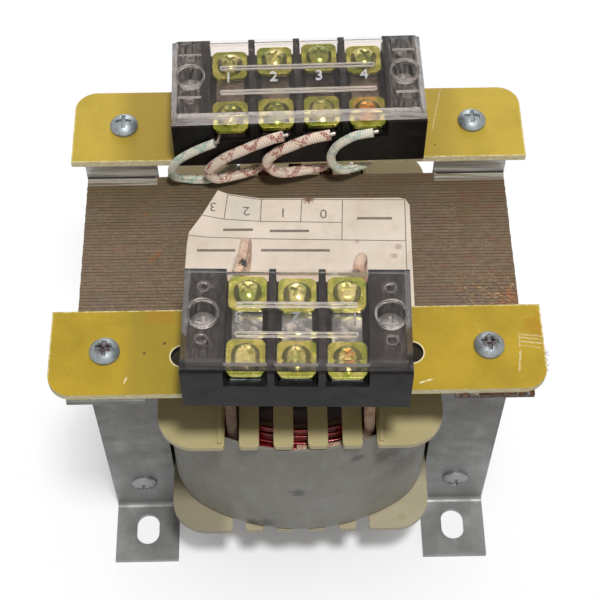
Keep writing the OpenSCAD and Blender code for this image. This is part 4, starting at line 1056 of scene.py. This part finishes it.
dress(zinc_paint(), "front_left_bracket", "front_right_bracket", "rear_left_bracket", "rear_right_bracket")
dress(board_paint(), "front_board", "rear_board")
dress(bobbin_paint(), "coil_bobbin")
dress(wrap_paint(), "outer_wrap")
dress(enamel, "outer_winding")
# painted shade: the inner winding's enamel is near black
dress(enamel_paint("painted_shade_enamel", rgb(26, 8, 8), rgb(42, 10, 10), rgb(70, 18, 16), 0.05), "inner_winding")
dress(insulation_paint(), "layer_insulation")
dress(block_paint("block_grey", rgb(15, 14, 14), rgb(24, 22, 22), 0.1), "front_block_body")
dress(block_paint("block_brown", rgb(9, 8, 6), rgb(16, 13, 11), 0.12), "rear_block_body")
dress(screw_paint("zinc_screws", rgb(146, 153, 156), rgb(106, 106, 104), SCREW_RUST), "board_screws")
dress(screw_paint("dull_screws", rgb(150, 152, 152), rgb(110, 104, 98)),
      "clamp_bolts", "front_block_fixings", "rear_block_fixings")
dress(screw_paint("zinc_nuts", rgb(160, 162, 162), rgb(112, 104, 96)),
      "clamp_nuts", "board_nuts", "front_block_nuts", "rear_block_nuts")
dress(paper_paint(), "paper_label")

# Terminals: plated strips, clamp plates and screws

plating = {
    "front_block_strips": ("bright_strip", rgb(92, 97, 100), rgb(130, 135, 138), rgb(204, 208, 208), 0.2),
    "rear_block_strips": ("dull_strip", rgb(66, 58, 52), rgb(88, 79, 71), rgb(118, 108, 98), 0.35),
    "rear_block_clamps": ("dull_clamps", rgb(102, 114, 38), rgb(134, 135, 52), rgb(164, 158, 82), 0.2),
    "rear_block_screws": (
        "dull_clamp_screws", rgb(104, 122, 54), rgb(150, 152, 84), rgb(192, 186, 130), 0.16),
    "front_block_clamps": ("bright_clamps", rgb(134, 146, 58), rgb(168, 168, 78), rgb(198, 192, 114), 0.2),
    "front_block_screws": (
        "bright_clamp_screws", rgb(136, 154, 80), rgb(182, 182, 114), rgb(218, 212, 160), 0.16),
}
for name, look in plating.items():
    dress(plated_paint(*look, WARM_STAINS.get(name)), name)
for name in ("front_block_clamps", "rear_block_clamps"):
    soften(name, CLAMP_EDGE, CLAMP_STEPS)

# Covers: clear plastic with raised digits

frost = frost_paint()
for name, look in COVERS.items():
    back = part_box(name)[1].y * METRE
    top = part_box(name)[1].z * METRE
    wear = (look["ends"], look["hatched"], look["rubbed"])
    dress(cover_paint(name.replace("block", "clear"), top, back, *wear), name)
    nodes[name].visible_shadow = False
    digits = Shape()
    for k, text in enumerate(look["digits"]):
        share = k / (len(look["digits"]) - 1)
        at = [a + (b - a) * share for a, b in zip(look["first"], look["last"])]
        digits.digit(text, COVER_DIGIT_H, at, top - RELIEF, DIGIT_RELIEF, look["turn"])
    digits.piece(name.replace("block_cover", "cover_digits"), frost)

# Label print: thin ink on the paper

label_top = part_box("paper_label")[1].z * METRE
printed = Shape()
for line in RULES:
    printed.ribbon(line, RULE_W, label_top, INK_T)
for line in WORD_BARS:
    printed.ribbon(line, BAR_W, label_top, INK_T)
for text, at in LABEL_DIGITS.items():
    printed.digit(text, LABEL_DIGIT_H, at, label_top, INK_T, LABEL_TURN)
ink = mottled_paint("label_ink", 0.7, rgb(104, 92, 82), rgb(150, 134, 120))
printed.piece("label_print", ink)

# Loose glass fibres at the frayed end of the front board

board_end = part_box("front_board")[1]
fray = Shape()
for y, length, lean in FRAY:
    start = Vector((board_end.x * METRE - FIBRE_ROOT, y, board_end.z * METRE - FIBRE_DEPTH))
    way = Vector((math.cos(math.radians(lean)), math.sin(math.radians(lean)), FIBRE_LIFT)) * length
    line = [start, start + way * 0.5 + Vector((0, FIBRE_BOW, 0)), start + way]
    fray.tube(line, FIBRE_D / 2, FIBRE_SIDES)
fibre = mottled_paint("glass_fibre", 0.6, rgb(176, 168, 180), rgb(222, 214, 224))
fray.piece("frayed_fibres", fibre)

# Stage: pale floor, soft light and the camera

corners = ((-1, -1), (1, -1), (1, 1), (-1, 1))
floor_mesh = bpy.data.meshes.new("floor")
floor_points = [mm(x * FLOOR_HALF, y * FLOOR_HALF, -FLOOR_DROP) for x, y in corners]
floor_mesh.from_pydata(floor_points, [], [(0, 1, 2, 3)])
floor_mesh.materials.append(floor_paint())
floor = bpy.data.objects.new("floor", floor_mesh)
scene.collection.objects.link(floor)

world = bpy.data.worlds.new("studio")
scene.world = world
world.use_nodes = True
background = world.node_tree.nodes["Background"]
background.inputs["Color"].default_value = (1, 1, 1, 1)
strength = world.node_tree.nodes.new("ShaderNodeMapRange")
strength.inputs["To Min"].default_value = WORLD_ON_PART
strength.inputs["To Max"].default_value = WORLD_SEEN
world.node_tree.links.new(seen_rays(world.node_tree), strength.inputs["Value"])
world.node_tree.links.new(strength.outputs[0], background.inputs["Strength"])

for name, (at, aim, size, watts) in LAMPS.items():
    light = bpy.data.lights.new(name, "AREA")
    light.shape = "DISK"
    light.size = mm(size)
    light.energy = watts
    lamp = bpy.data.objects.new(name, light)
    lamp.location = mm(*at)
    lamp.rotation_euler = (mm(*aim) - mm(*at)).to_track_quat("-Z", "Y").to_euler()
    scene.collection.objects.link(lamp)

camera = bpy.data.cameras.new("camera")
camera.sensor_width = SENSOR
camera.lens = LENS
camera.clip_start = mm(CLIP_NEAR)
camera.clip_end = mm(CLIP_FAR)
view = bpy.data.objects.new("camera", camera)
scene.collection.objects.link(view)
yaw, tilt, roll = (math.radians(a) for a in (YAW, PITCH, ROLL))
ahead = Vector((math.sin(yaw) * math.cos(tilt), math.cos(yaw) * math.cos(tilt), math.sin(tilt)))
level = Vector((math.cos(yaw), -math.sin(yaw), 0))
above = level.cross(ahead)
right = level * math.cos(roll) + above * math.sin(roll)
up = above * math.cos(roll) - level * math.sin(roll)
view.matrix_world = Matrix.Translation(mm(*EYE)) @ Matrix((right, up, -ahead)).transposed().to_4x4()
scene.camera = view
scene.view_settings.view_transform = "Standard"
